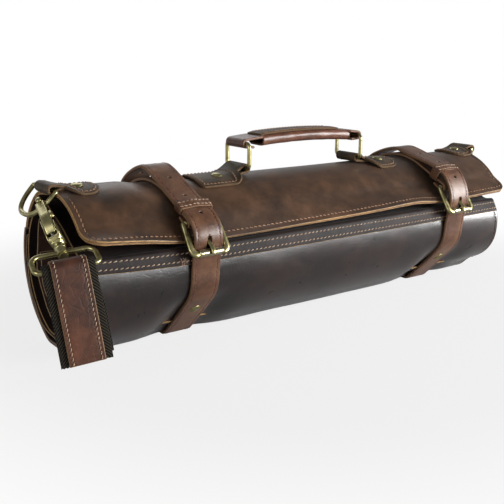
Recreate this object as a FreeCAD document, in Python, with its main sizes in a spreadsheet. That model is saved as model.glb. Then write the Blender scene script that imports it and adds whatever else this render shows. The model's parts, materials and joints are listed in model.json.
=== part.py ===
"""Leather brush roll, rolled up and buckled, as a parametric FreeCAD document.

Frame: X runs along the roll, -Y is the front with the buckles, +Z is up. The origin lies on the
resting plane, under the roll's axis, midway between the two straps. All lengths are millimetres.
"""

import FreeCAD, Part
import math
import os

import Sketcher

DOC = FreeCAD.newDocument("BrushRoll")
V = FreeCAD.Vector
X_AXIS, Y_AXIS, Z_AXIS = V(1, 0, 0), V(0, 1, 0), V(0, 0, 1)
# Side sketches lie in the YZ plane: their own x is Y, their own y is Z, their normal is X.
SIDE = FreeCAD.Rotation(Y_AXIS, Z_AXIS, X_AXIS, "ZXY")
# Front sketches lie in the XZ plane: their own x is X, their own y is Z, their normal is -Y.
FRONT = FreeCAD.Rotation(X_AXIS, Z_AXIS, -Y_AXIS, "ZXY")
PLAN = FreeCAD.Rotation()
SIDES = ((-1, "left"), (1, "right"))

SIZES = {
    # the rolled leather
    "rollRadius": 64.0,
    "rollLength": 470.0,
    "rollShift": -13.0,
    "leather": 3.0,
    "layerGap": 0.2,
    "footRadius": 25.0,
    "flapLapAngle": 25.0,
    "flapHemAngle": 5.0,
    "flapBendAngle": 140.0,
    "flapLip": 17.0,
    "flapCorner": 12.0,
    "panelTopAngle": 162.0,
    "liningThick": 1.0,
    "innerThick": 1.6,
    "seamEdgeAngle": 173.0,
    "innerDepth": 5.5,
    "pocketThick": 1.6,
    "pocketDepth": 7.4,
    "guardThick": 1.4,
    "guardDepth": 9.3,
    # the two closing straps
    "strapSpan": 296.4,
    "strapWidth": 26.0,
    "strapThick": 2.8,
    "buckleLeather": 2.5,
    "frontLeaveAngle": 187.0,
    "strapHole": 3.2,
    "holePitch": 25.0,
    "keeperWidth": 9.0,
    "keeperThick": 1.5,
    "keeperGap": 0.4,
    "rivetHead": 5.0,
    "rivetPost": 2.0,
    "rivetDome": 1.6,
    "postGap": 0.1,
    # the roller buckles
    "buckleWire": 1.9,
    "buckleLength": 26.9,
    "buckleWidth": 31.4,
    "buckleCorner": 4.5,
    "hingeLift": 8.4,
    "hingeGap": 0.32,
    "rollerWall": 1.1,
    "rollerFit": 0.08,
    "rollerLength": 22.0,
    "tongueWidth": 3.4,
    "tongueThick": 2.4,
    # the carrying handle
    "tabSpan": 134.0,
    "tabY": 5.0,
    "tabWidth": 27.0,
    "tabPlate": 52.0,
    "tabPlateLength": 36.0,
    "tabThick": 2.2,
    "loopReach": 10.0,
    "tabCorner": 9.0,
    "ringWire": 1.8,
    "ringWidth": 34.0,
    "ringHeight": 22.0,
    "ringCorner": 4.0,
    "gripLength": 108.0,
    "gripWidth": 24.0,
    "gripHeight": 10.0,
    "gripRise": 4.5,
    "capLength": 116.0,
    "capThick": 1.8,
    # the D-rings at the ends
    "anchorOut": 12.0,
    "anchorY": 13.0,
    "anchorPlateLength": 34.0,
    "dRingWire": 2.0,
    "dRingWidth": 32.0,
    "dRingDepth": 21.0,
    "dRingHangAngle": 63.0,
    # the snap hook and the shoulder strap
    "hookSeatAngle": 36.0,
    "hookHeadingAngle": 9.8,
    "hookDropAngle": 23.0,
    "hookBend": 6.6,
    "hookWire": 2.4,
    "hookBody": 50.0,
    "collarLength": 6.0,
    "swivelPost": 1.9,
    "strapRingWidth": 46.0,
    "strapRingDepth": 18.0,
    "strapRingWire": 2.0,
    "webWidth": 37.0,
    "webThick": 2.0,
    "webDrop": 68.0,
    "facingWidth": 26.0,
    "facingThick": 2.0,
}

sheet = DOC.addObject("Spreadsheet::Sheet", "Dims")
for row, (alias, number) in enumerate(SIZES.items(), start=1):
    sheet.set(f"A{row}", alias)
    sheet.set(f"B{row}", str(number))
    sheet.setAlias(f"B{row}", alias)
DOC.recompute()


class Sheet:
    """Reads a size from the sheet by its alias."""

    def __getattr__(self, alias):
        return float(getattr(sheet, alias))


S = Sheet()
SUBPARTS = []


def label(obj, name):
    """Give a finished sub-part the label that also names its file."""
    obj.Label = name
    SUBPARTS.append(obj)
    return obj


def bind(obj, **links):
    """Bind properties of an object to expressions over the sheet."""
    for prop, expression in links.items():
        obj.setExpression(prop.replace("__", "."), expression)
    return obj


def point_on(centre, radius, degrees):
    """The point at an angle on a circle in a sketch's own plane."""
    turn = math.radians(degrees)
    return V(centre[0] + radius * math.cos(turn), centre[1] + radius * math.sin(turn), 0)


def arc(centre, radius, start, end):
    """A sketch arc, counter-clockwise from the start angle to the end angle, in degrees."""
    circle = Part.Circle(V(centre[0], centre[1], 0), Z_AXIS, radius)
    return Part.ArcOfCircle(circle, math.radians(start), math.radians(end))


def line(start, end):
    """A straight run between two points of a sketch's own plane."""
    return Part.LineSegment(V(start[0], start[1], 0), V(end[0], end[1], 0))


def rounded(points, radii, closed=False):
    """Straight runs through the points, joined by a tangent arc at each inner corner."""
    spots = [V(p[0], p[1], 0) for p in points]
    if closed:
        spots = [spots[-1]] + spots + [spots[0]]
    runs = []
    last = None
    first = None
    for before, corner, after, radius in zip(spots, spots[1:], spots[2:], radii):
        into = (corner - before).normalize()
        out = (after - corner).normalize()
        turn = into.getAngle(out)
        reach = radius * math.tan(turn / 2)
        begin = corner - into * reach
        finish = corner + out * reach
        inward = (out - into).normalize()
        middle = corner + inward * (radius / math.cos(turn / 2) - radius)
        if last is None and not closed:
            last = before
        if last is not None:
            runs.append(Part.LineSegment(last, begin))
        runs.append(Part.Arc(begin, middle, finish))
        first = first or begin
        last = finish
    runs.append(Part.LineSegment(last, first if closed else spots[-1]))
    return runs


def sketch(name, runs, rotation=SIDE, origin=V(0, 0, 0)):
    """A sketch of joined runs, each end tied to the next one's start."""
    made = DOC.addObject("Sketcher::SketchObject", name)
    made.Placement = FreeCAD.Placement(origin, rotation)
    for run in runs:
        made.addGeometry(run, False)
    pairs = len(runs) if len(runs) > 2 else len(runs) - 1
    for index in range(pairs):
        other = (index + 1) % len(runs)
        for here in (1, 2):
            for there in (1, 2):
                if made.getPoint(index, here).distanceToPoint(made.getPoint(other, there)) < 1e-6:
                    made.addConstraint(Sketcher.Constraint("Coincident", index, here, other, there))
    return made


def band(name, runs, thick, width, origin=V(0, 0, 0), rotation=SIDE):
    """A leather band: a path thickened to one side and run to a width about its own plane.

    thick and width are expressions; a negative thickness goes to the other side of the path.
    """
    path = sketch(name + "_path", runs, rotation, origin)
    face = DOC.addObject("Part::Offset2D", name + "_section")
    face.Source = path
    face.Mode = "Skin"
    face.Fill = True
    face.Join = "Intersection"
    bind(face, Value=thick)
    solid = DOC.addObject("Part::Extrusion", name + "_band")
    solid.Base = face
    solid.DirMode = "Custom"
    solid.Dir = rotation.multVec(Z_AXIS)
    solid.Solid = True
    solid.Symmetric = True
    bind(solid, LengthFwd=width)
    return solid


def extrude(name, profile, length, direction, symmetric=True):
    """A closed sketch run to a length along a direction."""
    solid = DOC.addObject("Part::Extrusion", name)
    solid.Base = profile
    solid.DirMode = "Custom"
    solid.Dir = direction
    solid.Solid = True
    solid.Symmetric = symmetric
    bind(solid, LengthFwd=length)
    return solid


def cylinder(name, radius, length, centre, axis):
    """A cylinder about a centre point, along an axis."""
    made = DOC.addObject("Part::Cylinder", name)
    bind(made, Radius=radius, Height=length)
    DOC.recompute([made])
    turn = FreeCAD.Rotation(Z_AXIS, axis)
    start = centre - V(axis).normalize() * (made.Height.Value / 2)
    made.Placement = FreeCAD.Placement(start, turn)
    return made


def box(name, length, width, height, centre, rotation=PLAN):
    """A box about a centre point; its three sizes are expressions."""
    made = DOC.addObject("Part::Box", name)
    bind(made, Length=length, Width=width, Height=height)
    DOC.recompute([made])
    half = V(made.Length.Value / 2, made.Width.Value / 2, made.Height.Value / 2)
    made.Placement = FreeCAD.Placement(centre - rotation.multVec(half), rotation)
    return made


def cut(name, base, tool):
    """The base without the tool."""
    made = DOC.addObject("Part::Cut", name)
    made.Base = base
    made.Tool = tool
    return made


def common(name, base, tool):
    """What the base and the tool share."""
    made = DOC.addObject("Part::Common", name)
    made.Base = base
    made.Tool = tool
    return made


def fuse(name, *pieces):
    """Several overlapping shapes as one solid."""
    made = DOC.addObject("Part::MultiFuse", name)
    made.Shapes = list(pieces)
    made.Refine = True
    return made


def group(name, *pieces):
    """Separate solids that share one sub-part."""
    made = DOC.addObject("Part::Compound", name)
    made.Links = list(pieces)
    return made


def wire_loop(name, runs, wire, rotation, origin):
    """A round wire bent along a closed path of runs."""
    spine = sketch(name + "_spine", runs, rotation, origin)
    DOC.recompute()
    start = spine.Shape.Wires[0].OrderedEdges[0]
    begin = start.valueAt(start.FirstParameter)
    heading = start.tangentAt(start.FirstParameter)
    section = DOC.addObject("Part::Circle", name + "_section")
    section.Placement = FreeCAD.Placement(begin, FreeCAD.Rotation(Z_AXIS, heading))
    bind(section, Radius=wire)
    swept = DOC.addObject("Part::Sweep", name + "_wire")
    swept.Sections = [section]
    swept.Spine = (spine, [f"Edge{n + 1}" for n in range(len(runs))])
    swept.Solid = True
    swept.Frenet = False
    return swept


# ---- the roll: one leather sheet turned round itself -----------------------------------------

STRAP_SHIM = S.strapThick + S.layerGap
AXIS = (0.0, S.rollRadius)
FLAP_AXIS = (S.leather + S.layerGap, S.rollRadius)
FLAP_RADIUS = S.rollRadius + 0.3
FOOT_HALF = math.sqrt((S.rollRadius - S.footRadius) ** 2
                      - (S.rollRadius - S.footRadius - STRAP_SHIM) ** 2)
FOOT_LEVEL = STRAP_SHIM + S.footRadius
FOOT_ANGLE = math.degrees(math.atan2(S.rollRadius - FOOT_LEVEL, FOOT_HALF))
ROLL_MIDDLE = V(S.rollShift, 0, 0)


def turn_of_leather(out, rear, front):
    """One turn about the roll's axis, with its flat foot, at a distance outside the panel.

    rear and front are the angles of the two ends; the turn goes under the roll.
    """
    radius, foot = S.rollRadius + out, S.footRadius + out
    rear_foot, front_foot = (FOOT_HALF, FOOT_LEVEL), (-FOOT_HALF, FOOT_LEVEL)
    runs = [
        arc(AXIS, radius, -FOOT_ANGLE, rear),
        arc(rear_foot, foot, -90, -FOOT_ANGLE),
        line((FOOT_HALF, STRAP_SHIM - out), (-FOOT_HALF, STRAP_SHIM - out)),
    ]
    if front < 180 + FOOT_ANGLE:
        runs.append(arc(front_foot, foot, 180 + FOOT_ANGLE, 270))
        runs.append(arc(AXIS, radius, front, 180 + FOOT_ANGLE))
    else:
        runs.append(arc(front_foot, foot, front, 270))
    return runs


def punch(name, solid, spots):
    """Holes for rivet posts through a leather piece, at each spot and its outward direction."""
    drills = []
    for number, (spot, out) in enumerate(spots):
        drills.append(cylinder(f"{name}_drill{number}", "Dims.rivetPost + Dims.postGap", "30", spot, out))
    return cut(name + "_punched", solid, group(name + "_drills", *drills))


def make_panel(spots):
    """The outer panel: up the rear, under the roll and up the front to the seam."""
    runs = turn_of_leather(0, S.flapLapAngle, S.panelTopAngle)
    solid = band("outer_panel", runs, "-Dims.leather", "Dims.rollLength", ROLL_MIDDLE)
    label(punch("outer_panel", solid, spots), "outer_panel")


def make_lining(spots):
    """The thin lining close inside the panel."""
    runs = turn_of_leather(-(S.leather + S.layerGap), S.flapLapAngle - 5, S.panelTopAngle - 2)
    solid = band("lining", runs, "-Dims.liningThick", "Dims.rollLength - 2", ROLL_MIDDLE)
    label(punch("lining", solid, spots), "lining")


def make_flap(spots):
    """The closing flap: lapped over the panel at the rear, over the top, with a front lip."""
    edge = point_on(FLAP_AXIS, FLAP_RADIUS, S.flapBendAngle)
    down = math.radians(S.flapBendAngle + 90)
    lip = (edge.x + S.flapLip * math.cos(down), edge.y + S.flapLip * math.sin(down))
    runs = [arc(FLAP_AXIS, FLAP_RADIUS, -S.flapHemAngle, S.flapBendAngle), line((edge.x, edge.y), lip)]
    solid = band("flap", runs, "-Dims.leather", "Dims.rollLength")
    DOC.recompute()
    corners = []
    for index, side in enumerate(solid.Shape.Edges, start=1):
        middle = side.CenterOfMass
        at_end = abs(abs(middle.x) - S.rollLength / 2) < 0.01
        if at_end and abs(side.Length - S.leather) < 0.01 and middle.y < 0:
            corners.append((index, S.flapCorner, S.flapCorner))
    rounded_flap = DOC.addObject("Part::Fillet", "flap_rounded")
    rounded_flap.Base = solid
    rounded_flap.Edges = corners
    label(punch("flap", rounded_flap, spots), "flap")


def make_inner_panel():
    """The second turn: its raw edge covers the panel's top, then it runs in under the flap."""
    strip = S.rollRadius + S.layerGap + S.innerThick
    strip_end = S.panelTopAngle - 1.0
    bend = point_on(AXIS, strip, strip_end)
    slope = 30.0
    dip = V(-0.656 * S.rollRadius, 1.383 * S.rollRadius, 0)
    along = V(math.cos(math.radians(slope)), math.sin(math.radians(slope)), 0)
    below = V(along.y, -along.x, 0)
    # The arc that leads from the slope into the inner turn touches both.
    lead = 0.47 * S.rollRadius
    base = dip + below * lead - V(AXIS[0], AXIS[1], 0)
    reach = S.rollRadius - S.innerDepth - lead
    step = -base.dot(along) + math.sqrt(base.dot(along) ** 2 - base.dot(base) + reach ** 2)
    centre = dip + below * lead + along * step
    leave = math.degrees(math.atan2(centre.y - AXIS[1], centre.x - AXIS[0]))
    crest = (bend.x + 2.0, bend.y + 3.0)
    meet = dip + along * step
    over = rounded([(bend.x, bend.y), crest, (dip.x, dip.y), (meet.x, meet.y)], [1.6, 12.0])
    turned = turn_of_leather(-S.innerDepth, leave, 235)
    runs = [arc(AXIS, strip, strip_end, S.seamEdgeAngle)] + over
    runs.append(arc((centre.x, centre.y), lead, leave, slope + 90))
    runs += turned
    solid = band("inner_panel", runs, "-Dims.innerThick", "Dims.rollLength - 4", ROLL_MIDDLE)
    label(solid, "inner_panel")


def make_pocket_panel():
    """The brush pockets' panel, inside the second turn."""
    runs = turn_of_leather(-S.pocketDepth, 40, 228)
    solid = band("pocket_panel", runs, "-Dims.pocketThick", "Dims.rollLength - 16", ROLL_MIDDLE)
    label(solid, "pocket_panel")


def make_guard_flap():
    """The loose guard that folds over the brush tips, innermost of all."""
    runs = turn_of_leather(-S.guardDepth, 5, 240)
    solid = band("guard_flap", runs, "-Dims.guardThick", "Dims.rollLength - 22", ROLL_MIDDLE)
    label(solid, "guard_flap")


# ---- closing straps, keepers and rivets ------------------------------------------------------

# The hinge bar floats a little above the flap, seen from the flap's own centre at this angle.
HINGE_ANGLE = 146.62
HINGE_REACH = FLAP_RADIUS + S.hingeLift
HINGE = (FLAP_AXIS[0] + HINGE_REACH * math.cos(math.radians(HINGE_ANGLE)),
         FLAP_AXIS[1] + HINGE_REACH * math.sin(math.radians(HINGE_ANGLE)))
HINGE_BORE = S.buckleWire + S.hingeGap
BUCKLE_TURN = S.rollRadius + 0.7
FREE_TURN = BUCKLE_TURN + S.buckleLeather + 0.3
# The angle at which a strap leaves the flap's circle on its straight way to the hinge bar.
STRAP_LEAVE = HINGE_ANGLE - math.degrees(math.acos((BUCKLE_TURN - HINGE_BORE) / HINGE_REACH))
FRONT_LEAVE = S.frontLeaveAngle
ROLLER_OUT = S.buckleWire + S.rollerFit + S.rollerWall
# The buckle's frame hangs from its hinge at the angle that lays the roller on the rising strap.
LEAVE_TURN = math.radians(FRONT_LEAVE)
HINGE_OUT = HINGE[0] * math.cos(LEAVE_TURN) + (HINGE[1] - AXIS[1]) * math.sin(LEAVE_TURN)
ROLLER_REST = S.rollRadius + S.layerGap + S.strapThick + ROLLER_OUT + 0.33
FRAME_TILT = FRONT_LEAVE + math.degrees(math.acos((ROLLER_REST - HINGE_OUT) / S.buckleLength))
REAR_LAP = (-18.0, -38.0)
FRONT_RIVET = 207.0
REAR_RIVET = -28.0


def strap_x(side):
    """The X of a strap's middle plane."""
    return side * S.strapSpan / 2


def make_buckle_strap(side, hand):
    """The strap that carries the buckle: lapped at the rear, over the flap, round the hinge bar."""
    leave = point_on(FLAP_AXIS, BUCKLE_TURN, STRAP_LEAVE)
    meet = point_on(HINGE, HINGE_BORE, STRAP_LEAVE)
    fold_end = STRAP_LEAVE + 194
    tail_start = point_on(HINGE, HINGE_BORE, fold_end)
    tail_turn = math.radians(fold_end + 90)
    tail = 10.5
    tail_end = (tail_start.x + tail * math.cos(tail_turn), tail_start.y + tail * math.sin(tail_turn))
    runs = [
        arc(FLAP_AXIS, BUCKLE_TURN, REAR_LAP[1], STRAP_LEAVE),
        line((leave.x, leave.y), (meet.x, meet.y)),
        arc(HINGE, HINGE_BORE, STRAP_LEAVE, fold_end),
        line((tail_start.x, tail_start.y), tail_end),
    ]
    name = "buckle_strap_" + hand
    middle = V(strap_x(side), 0, 0)
    leather = band(name, runs, "Dims.buckleLeather", "Dims.strapWidth", middle)
    slot = cylinder(name + "_slot", "6.5", "Dims.tongueWidth + 2",
                    middle + V(0, HINGE[0], HINGE[1]), X_AXIS)
    whole = cut(name + "_slotted", leather, slot)
    label(punch(name, whole, [rivet_spot(side, REAR_RIVET, 0)]), name)


def rivet_spot(side, degrees, out):
    """A point and an outward direction on the roll for a rivet through a strap."""
    spot = point_on(AXIS, S.rollRadius + out, degrees)
    turn = math.radians(degrees)
    return V(strap_x(side), spot.x, spot.y), V(0, math.cos(turn), math.sin(turn))


def make_hole_strap(side, hand):
    """The free strap: under the roll, riveted low in front, through the buckle and over the top."""
    rise_start = point_on(AXIS, S.rollRadius + S.layerGap, FRONT_LEAVE)
    turn = math.radians(FRONT_LEAVE)
    rise = V(math.sin(turn), -math.cos(turn), 0)
    normal = V(math.cos(math.radians(STRAP_LEAVE)), math.sin(math.radians(STRAP_LEAVE)), 0)
    axis = V(FLAP_AXIS[0], FLAP_AXIS[1], 0)
    length = (FREE_TURN - (rise_start - axis).dot(normal)) / rise.dot(normal)
    knee = rise_start + rise * length
    crown = point_on(FLAP_AXIS, FREE_TURN, STRAP_LEAVE)
    turned = turn_of_leather(S.layerGap, REAR_LAP[0], FRONT_LEAVE)
    free = rounded([(rise_start.x, rise_start.y), (knee.x, knee.y), (crown.x, crown.y)], [10.0])
    over = [arc(FLAP_AXIS, FREE_TURN, 38, STRAP_LEAVE)]
    name = "hole_strap_" + hand
    middle = V(strap_x(side), 0, 0)
    leather = band(name, turned + free + over, "Dims.strapThick", "Dims.strapWidth", middle)
    holes = []
    step = math.degrees(S.holePitch / (FREE_TURN + S.strapThick))
    for number in range(4):
        degrees = STRAP_LEAVE - 4 - number * step
        spot = point_on(FLAP_AXIS, FREE_TURN, degrees)
        out = V(0, math.cos(math.radians(degrees)), math.sin(math.radians(degrees)))
        holes.append(cylinder(f"{name}_hole{number}", "Dims.strapHole / 2", "12",
                              V(strap_x(side), spot.x, spot.y), out))
    # The hole round the tongue is stretched upwards, where the tongue swings when it lifts.
    along = math.degrees(math.atan2(rise.y, rise.x))
    tongue_hole = box(name + "_slot", "Dims.tongueWidth + 1.6", "12", "14",
                      V(strap_x(side), knee.x + 1.5, knee.y - 9.5), FreeCAD.Rotation(X_AXIS, along - 90))
    shaped = cut(name + "_punched", leather, group(name + "_holes", tongue_hole, *holes))
    spots = [rivet_spot(side, FRONT_RIVET, 0), rivet_spot(side, REAR_RIVET, 0)]
    label(punch(name + "_set", shaped, spots), name)


def make_keeper(side, hand):
    """The fixed loop just behind the buckle, round both straps."""
    centre = point_on(HINGE, 0, 0)
    turn = math.radians(STRAP_LEAVE)
    back = V(math.sin(turn), -math.cos(turn), 0)
    out = V(math.cos(turn), math.sin(turn), 0)
    offset = 13.0 + S.keeperWidth / 2
    inner_low = HINGE_BORE - S.keeperGap
    inner_high = HINGE_BORE + S.buckleLeather + 0.3 + S.strapThick + S.keeperGap
    level = (inner_low + inner_high) / 2
    middle = centre + back * offset + out * level
    spot = V(strap_x(side), middle.x, middle.y)
    frame = FreeCAD.Rotation(X_AXIS, V(0, back.x, back.y), V(0, out.x, out.y), "XYZ")
    tall = inner_high - inner_low
    bind_gap = "2 * Dims.keeperGap"
    outer = box(f"keeper_{hand}_outer", f"Dims.strapWidth + {bind_gap} + 2 * Dims.keeperThick",
                "Dims.keeperWidth", f"{tall} + 2 * Dims.keeperThick", spot, frame)
    inner = box(f"keeper_{hand}_inner", f"Dims.strapWidth + {bind_gap}",
                "Dims.keeperWidth + 2", f"{tall}", spot, frame)
    label(cut(f"keeper_{hand}_loop", outer, inner), "keeper_" + hand)


def rivet(name, spot, out, grip):
    """A double-cap rivet: a domed cap, a post through the leather and a cap inside."""
    foot = spot - out * grip
    post = cylinder(name + "_post", "Dims.rivetPost", f"{grip}", (spot + foot) * 0.5, out)
    dome = DOC.addObject("Part::Sphere", name + "_dome")
    ball = (S.rivetHead ** 2 + S.rivetDome ** 2) / (2 * S.rivetDome)
    dome.Radius = ball
    dome.Placement = FreeCAD.Placement(spot + out * (S.rivetDome - ball), FreeCAD.Rotation())
    slab = cylinder(name + "_slab", "Dims.rivetHead", "Dims.rivetDome",
                    spot + out * (S.rivetDome / 2), out)
    cap = common(name + "_cap", slab, dome)
    inner = cylinder(name + "_inner", "Dims.rivetHead - 1", "1", foot - out * 0.5, out)
    return fuse(name, post, cap, inner)


def make_strap_rivets():
    """Front and rear rivets of both straps, as one sub-part of separate solids."""
    inside = S.leather + S.layerGap * 2 + S.liningThick
    pieces = []
    for side, hand in SIDES:
        spot, out = rivet_spot(side, FRONT_RIVET, S.layerGap * 2 + S.strapThick)
        pieces.append(rivet("front_rivet_" + hand, spot, out, S.layerGap * 2 + S.strapThick + inside))
        lap = point_on(FLAP_AXIS, BUCKLE_TURN + S.buckleLeather + S.layerGap, REAR_RIVET)
        rise = math.dist((lap.x, lap.y), AXIS) - S.rollRadius
        spot, out = rivet_spot(side, REAR_RIVET, rise)
        pieces.append(rivet("rear_rivet_" + hand, spot, out, rise + inside))
    label(group("strap_rivets", *pieces), "strap_rivets")


# ---- roller buckles --------------------------------------------------------------------------

# Seen from the side, a buckle lies along its own line from the hinge bar to the roller.
FRAME_ALONG = V(0, math.cos(math.radians(FRAME_TILT)), math.sin(math.radians(FRAME_TILT)))
FRAME_OUT = V(0, FRAME_ALONG.z, -FRAME_ALONG.y)


def buckle_point(side, along, out):
    """A point of a buckle, from its hinge bar towards the roller and outwards."""
    start = V(strap_x(side), HINGE[0], HINGE[1])
    return start + FRAME_ALONG * along + FRAME_OUT * out


def buckle_frame_rotation():
    """Sketches of the frame lie in its own plane: own x is X, own y runs from roller to hinge."""
    return FreeCAD.Rotation(X_AXIS, -FRAME_ALONG, X_AXIS.cross(-FRAME_ALONG), "XYZ")


def make_buckle_frame(side, hand):
    """The cast frame: a rounded rectangle of round wire; the hinge bar is its far side."""
    half, reach = S.buckleWidth / 2, S.buckleLength
    corner = S.buckleCorner
    points = [(-half, 0), (-half, -reach), (half, -reach), (half, 0)]
    runs = rounded(points, [3.0, corner, corner, 3.0], closed=True)
    wire = wire_loop(f"buckle_frame_{hand}", runs, "Dims.buckleWire", buckle_frame_rotation(),
                     buckle_point(side, 0, 0))
    label(wire, "buckle_frame_" + hand)


def make_roller(side, hand):
    """The sleeve that turns on the frame's front bar."""
    middle = buckle_point(side, S.buckleLength, 0)
    outer = cylinder(f"roller_{hand}_outer", "Dims.buckleWire + Dims.rollerFit + Dims.rollerWall",
                     "Dims.rollerLength", middle, X_AXIS)
    bore = cylinder(f"roller_{hand}_bore", "Dims.buckleWire + Dims.rollerFit",
                    "Dims.rollerLength + 2", middle, X_AXIS)
    label(cut(f"roller_{hand}_sleeve", outer, bore), "buckle_roller_" + hand)


def make_tongue(side, hand):
    """The tongue: an eye round the hinge bar and a shank whose tip rests on the roller."""
    eye_wall = 1.5
    bore_radius = S.buckleWire + S.hingeGap
    centre = buckle_point(side, 0, 0)
    eye = cylinder(f"tongue_{hand}_eye", f"{bore_radius + eye_wall}", "Dims.tongueWidth", centre, X_AXIS)
    bore = cylinder(f"tongue_{hand}_bore", f"{bore_radius}", "Dims.tongueWidth + 2", centre, X_AXIS)
    # The shank's underside runs from the eye's crown to just above the roller.
    rest = ROLLER_OUT + 0.36
    root = 2.0
    shank = [(0.5, root), (S.buckleLength, rest), (S.buckleLength + 2.6, rest - 0.4),
             (S.buckleLength + 3.4, rest + 0.7), (S.buckleLength + 0.6, rest + S.tongueThick),
             (0.5, root + 1.5)]
    frame = FreeCAD.Rotation(FRAME_ALONG, FRAME_OUT, FRAME_ALONG.cross(FRAME_OUT), "XYZ")
    runs = rounded(shank, [0.2, 0.8, 0.5, 0.8, 1.2, 0.2], closed=True)
    outline = sketch(f"tongue_{hand}_outline", runs, frame, centre)
    bar = extrude(f"tongue_{hand}_bar", outline, "Dims.tongueWidth", X_AXIS)
    label(cut(f"tongue_{hand}_whole", fuse(f"tongue_{hand}_blank", eye, bar), bore),
          "buckle_tongue_" + hand)


# ---- carrying handle -------------------------------------------------------------------------

TAB_LAYER = FLAP_RADIUS + S.layerGap
TAB_BORE = S.ringWire + S.hingeGap
# A loop lies just off the plate's crown, so that its flat side never grazes the plate's curve.
RING_LEVEL = FLAP_AXIS[1] + TAB_LAYER + S.tabThick + TAB_BORE + S.layerGap


def leather_tab(name, side, bar_x, middle_y, plate_length, bar_level, bore):
    """A tab: a shaped plate that follows the flap, and a loop round a ring's straight bar.

    side is -1 where the loop faces left and 1 where it faces right; bar_x is the bar's place.
    """
    near = bar_x - side * S.loopReach
    far = near - side * plate_length
    half_plate, half_loop, corner = S.tabPlate / 2, S.tabWidth / 2, S.tabCorner
    outline = [(far, -half_plate), (near - side * 6, -half_plate), (near, -half_loop),
               (near + side * 2, -half_loop), (near + side * 2, half_loop), (near, half_loop),
               (near - side * 6, half_plate), (far, half_plate)]
    radii = [corner, 7.0, 2.0, 0.5, 0.5, 2.0, 7.0, corner]
    runs = rounded(outline, radii, closed=True)
    shape = sketch(name + "_outline", runs, PLAN, V(0, middle_y, FLAP_AXIS[1]))
    prism = extrude(name + "_prism", shape, "2 * Dims.rollRadius", Z_AXIS, symmetric=False)
    middle = V((near + far) / 2, FLAP_AXIS[0], FLAP_AXIS[1])
    outer = cylinder(name + "_outer", f"{TAB_LAYER} + Dims.tabThick", "100", middle, X_AXIS)
    inner = cylinder(name + "_inner", f"{TAB_LAYER}", "102", middle, X_AXIS)
    plate = common(name + "_plate", prism, cut(name + "_skin", outer, inner))
    low = bar_level - bore
    high = bar_level + bore
    start = -90.0 if side > 0 else 90.0
    root = near + side * 0.04 * S.loopReach
    lower = line((root, low), (bar_x, low))
    fold = arc((bar_x, bar_level), bore, start, start + 180)
    # The fold closes on itself where it meets the plate.
    upper = line((bar_x, high), (root - side * 0.3 * S.loopReach, low + S.layerGap))
    sign = "-Dims.tabThick" if side > 0 else "Dims.tabThick"
    loop = band(name + "_loop", [lower, fold, upper], sign, "Dims.tabWidth", V(0, middle_y, 0), FRONT)
    return fuse(name + "_whole", plate, loop)


def make_handle_tabs():
    """The two tabs that hold the handle's rings to the flap, and their rivets."""
    rivets = []
    for side, hand in SIDES:
        bar_x = side * S.tabSpan / 2
        name = "handle_tab_" + hand
        tab = leather_tab(name, -side, bar_x, S.tabY, S.tabPlateLength, RING_LEVEL, TAB_BORE)
        spot, out = tab_rivet_spot(side)
        label(punch(name, tab, [(spot, out)]), name)
        rivets.append(rivet("tab_rivet_" + hand, spot, out, TOP_GRIP))
    label(group("handle_rivets", *rivets), "handle_tab_rivets")


TOP_GRIP = S.layerGap * 3 + S.tabThick + S.leather


def flap_spot(x, y, out):
    """A point above the flap at an X and Y, and the outward direction there."""
    height = math.sqrt(FLAP_RADIUS ** 2 - (y - FLAP_AXIS[0]) ** 2)
    direction = V(0, y - FLAP_AXIS[0], height).normalize()
    spot = V(x, FLAP_AXIS[0], FLAP_AXIS[1]) + direction * (FLAP_RADIUS + out)
    return spot, direction


def tab_rivet_spot(side):
    """Where a handle tab's rivet sits on top of the tab's plate."""
    return flap_spot(side * (S.tabSpan / 2 + S.loopReach + 13.0), S.tabY, S.layerGap * 2 + S.tabThick)


def anchor_rivet_spot(side):
    """Where a D-ring anchor's rivet sits on top of the anchor's plate."""
    return flap_spot(side * (ANCHOR_X - S.loopReach - 15.0), S.anchorY, S.layerGap * 2 + S.tabThick)


def make_handle_ring(side, hand):
    """A rectangular ring of round wire, upright between a tab and the handle."""
    half, tall, corner = S.ringWidth / 2, S.ringHeight, S.ringCorner
    points = [(-half, 0), (half, 0), (half, tall), (-half, tall)]
    runs = rounded(points, [corner] * 4, closed=True)
    origin = V(side * S.tabSpan / 2, S.tabY, RING_LEVEL)
    wire = wire_loop("handle_ring_" + hand, runs, "Dims.ringWire", SIDE, origin)
    label(wire, "handle_ring_" + hand)


GRIP_LEVEL = RING_LEVEL + S.ringHeight
# The arch touches both end loops, so its circle is the rings' bars' circle grown by the bore.
BAR_ARCH = ((S.tabSpan / 2) ** 2 + S.gripRise ** 2) / (2 * S.gripRise)
ARCH_RADIUS = BAR_ARCH + TAB_BORE
ARCH_CENTRE = (0.0, GRIP_LEVEL + S.gripRise - BAR_ARCH)


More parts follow.
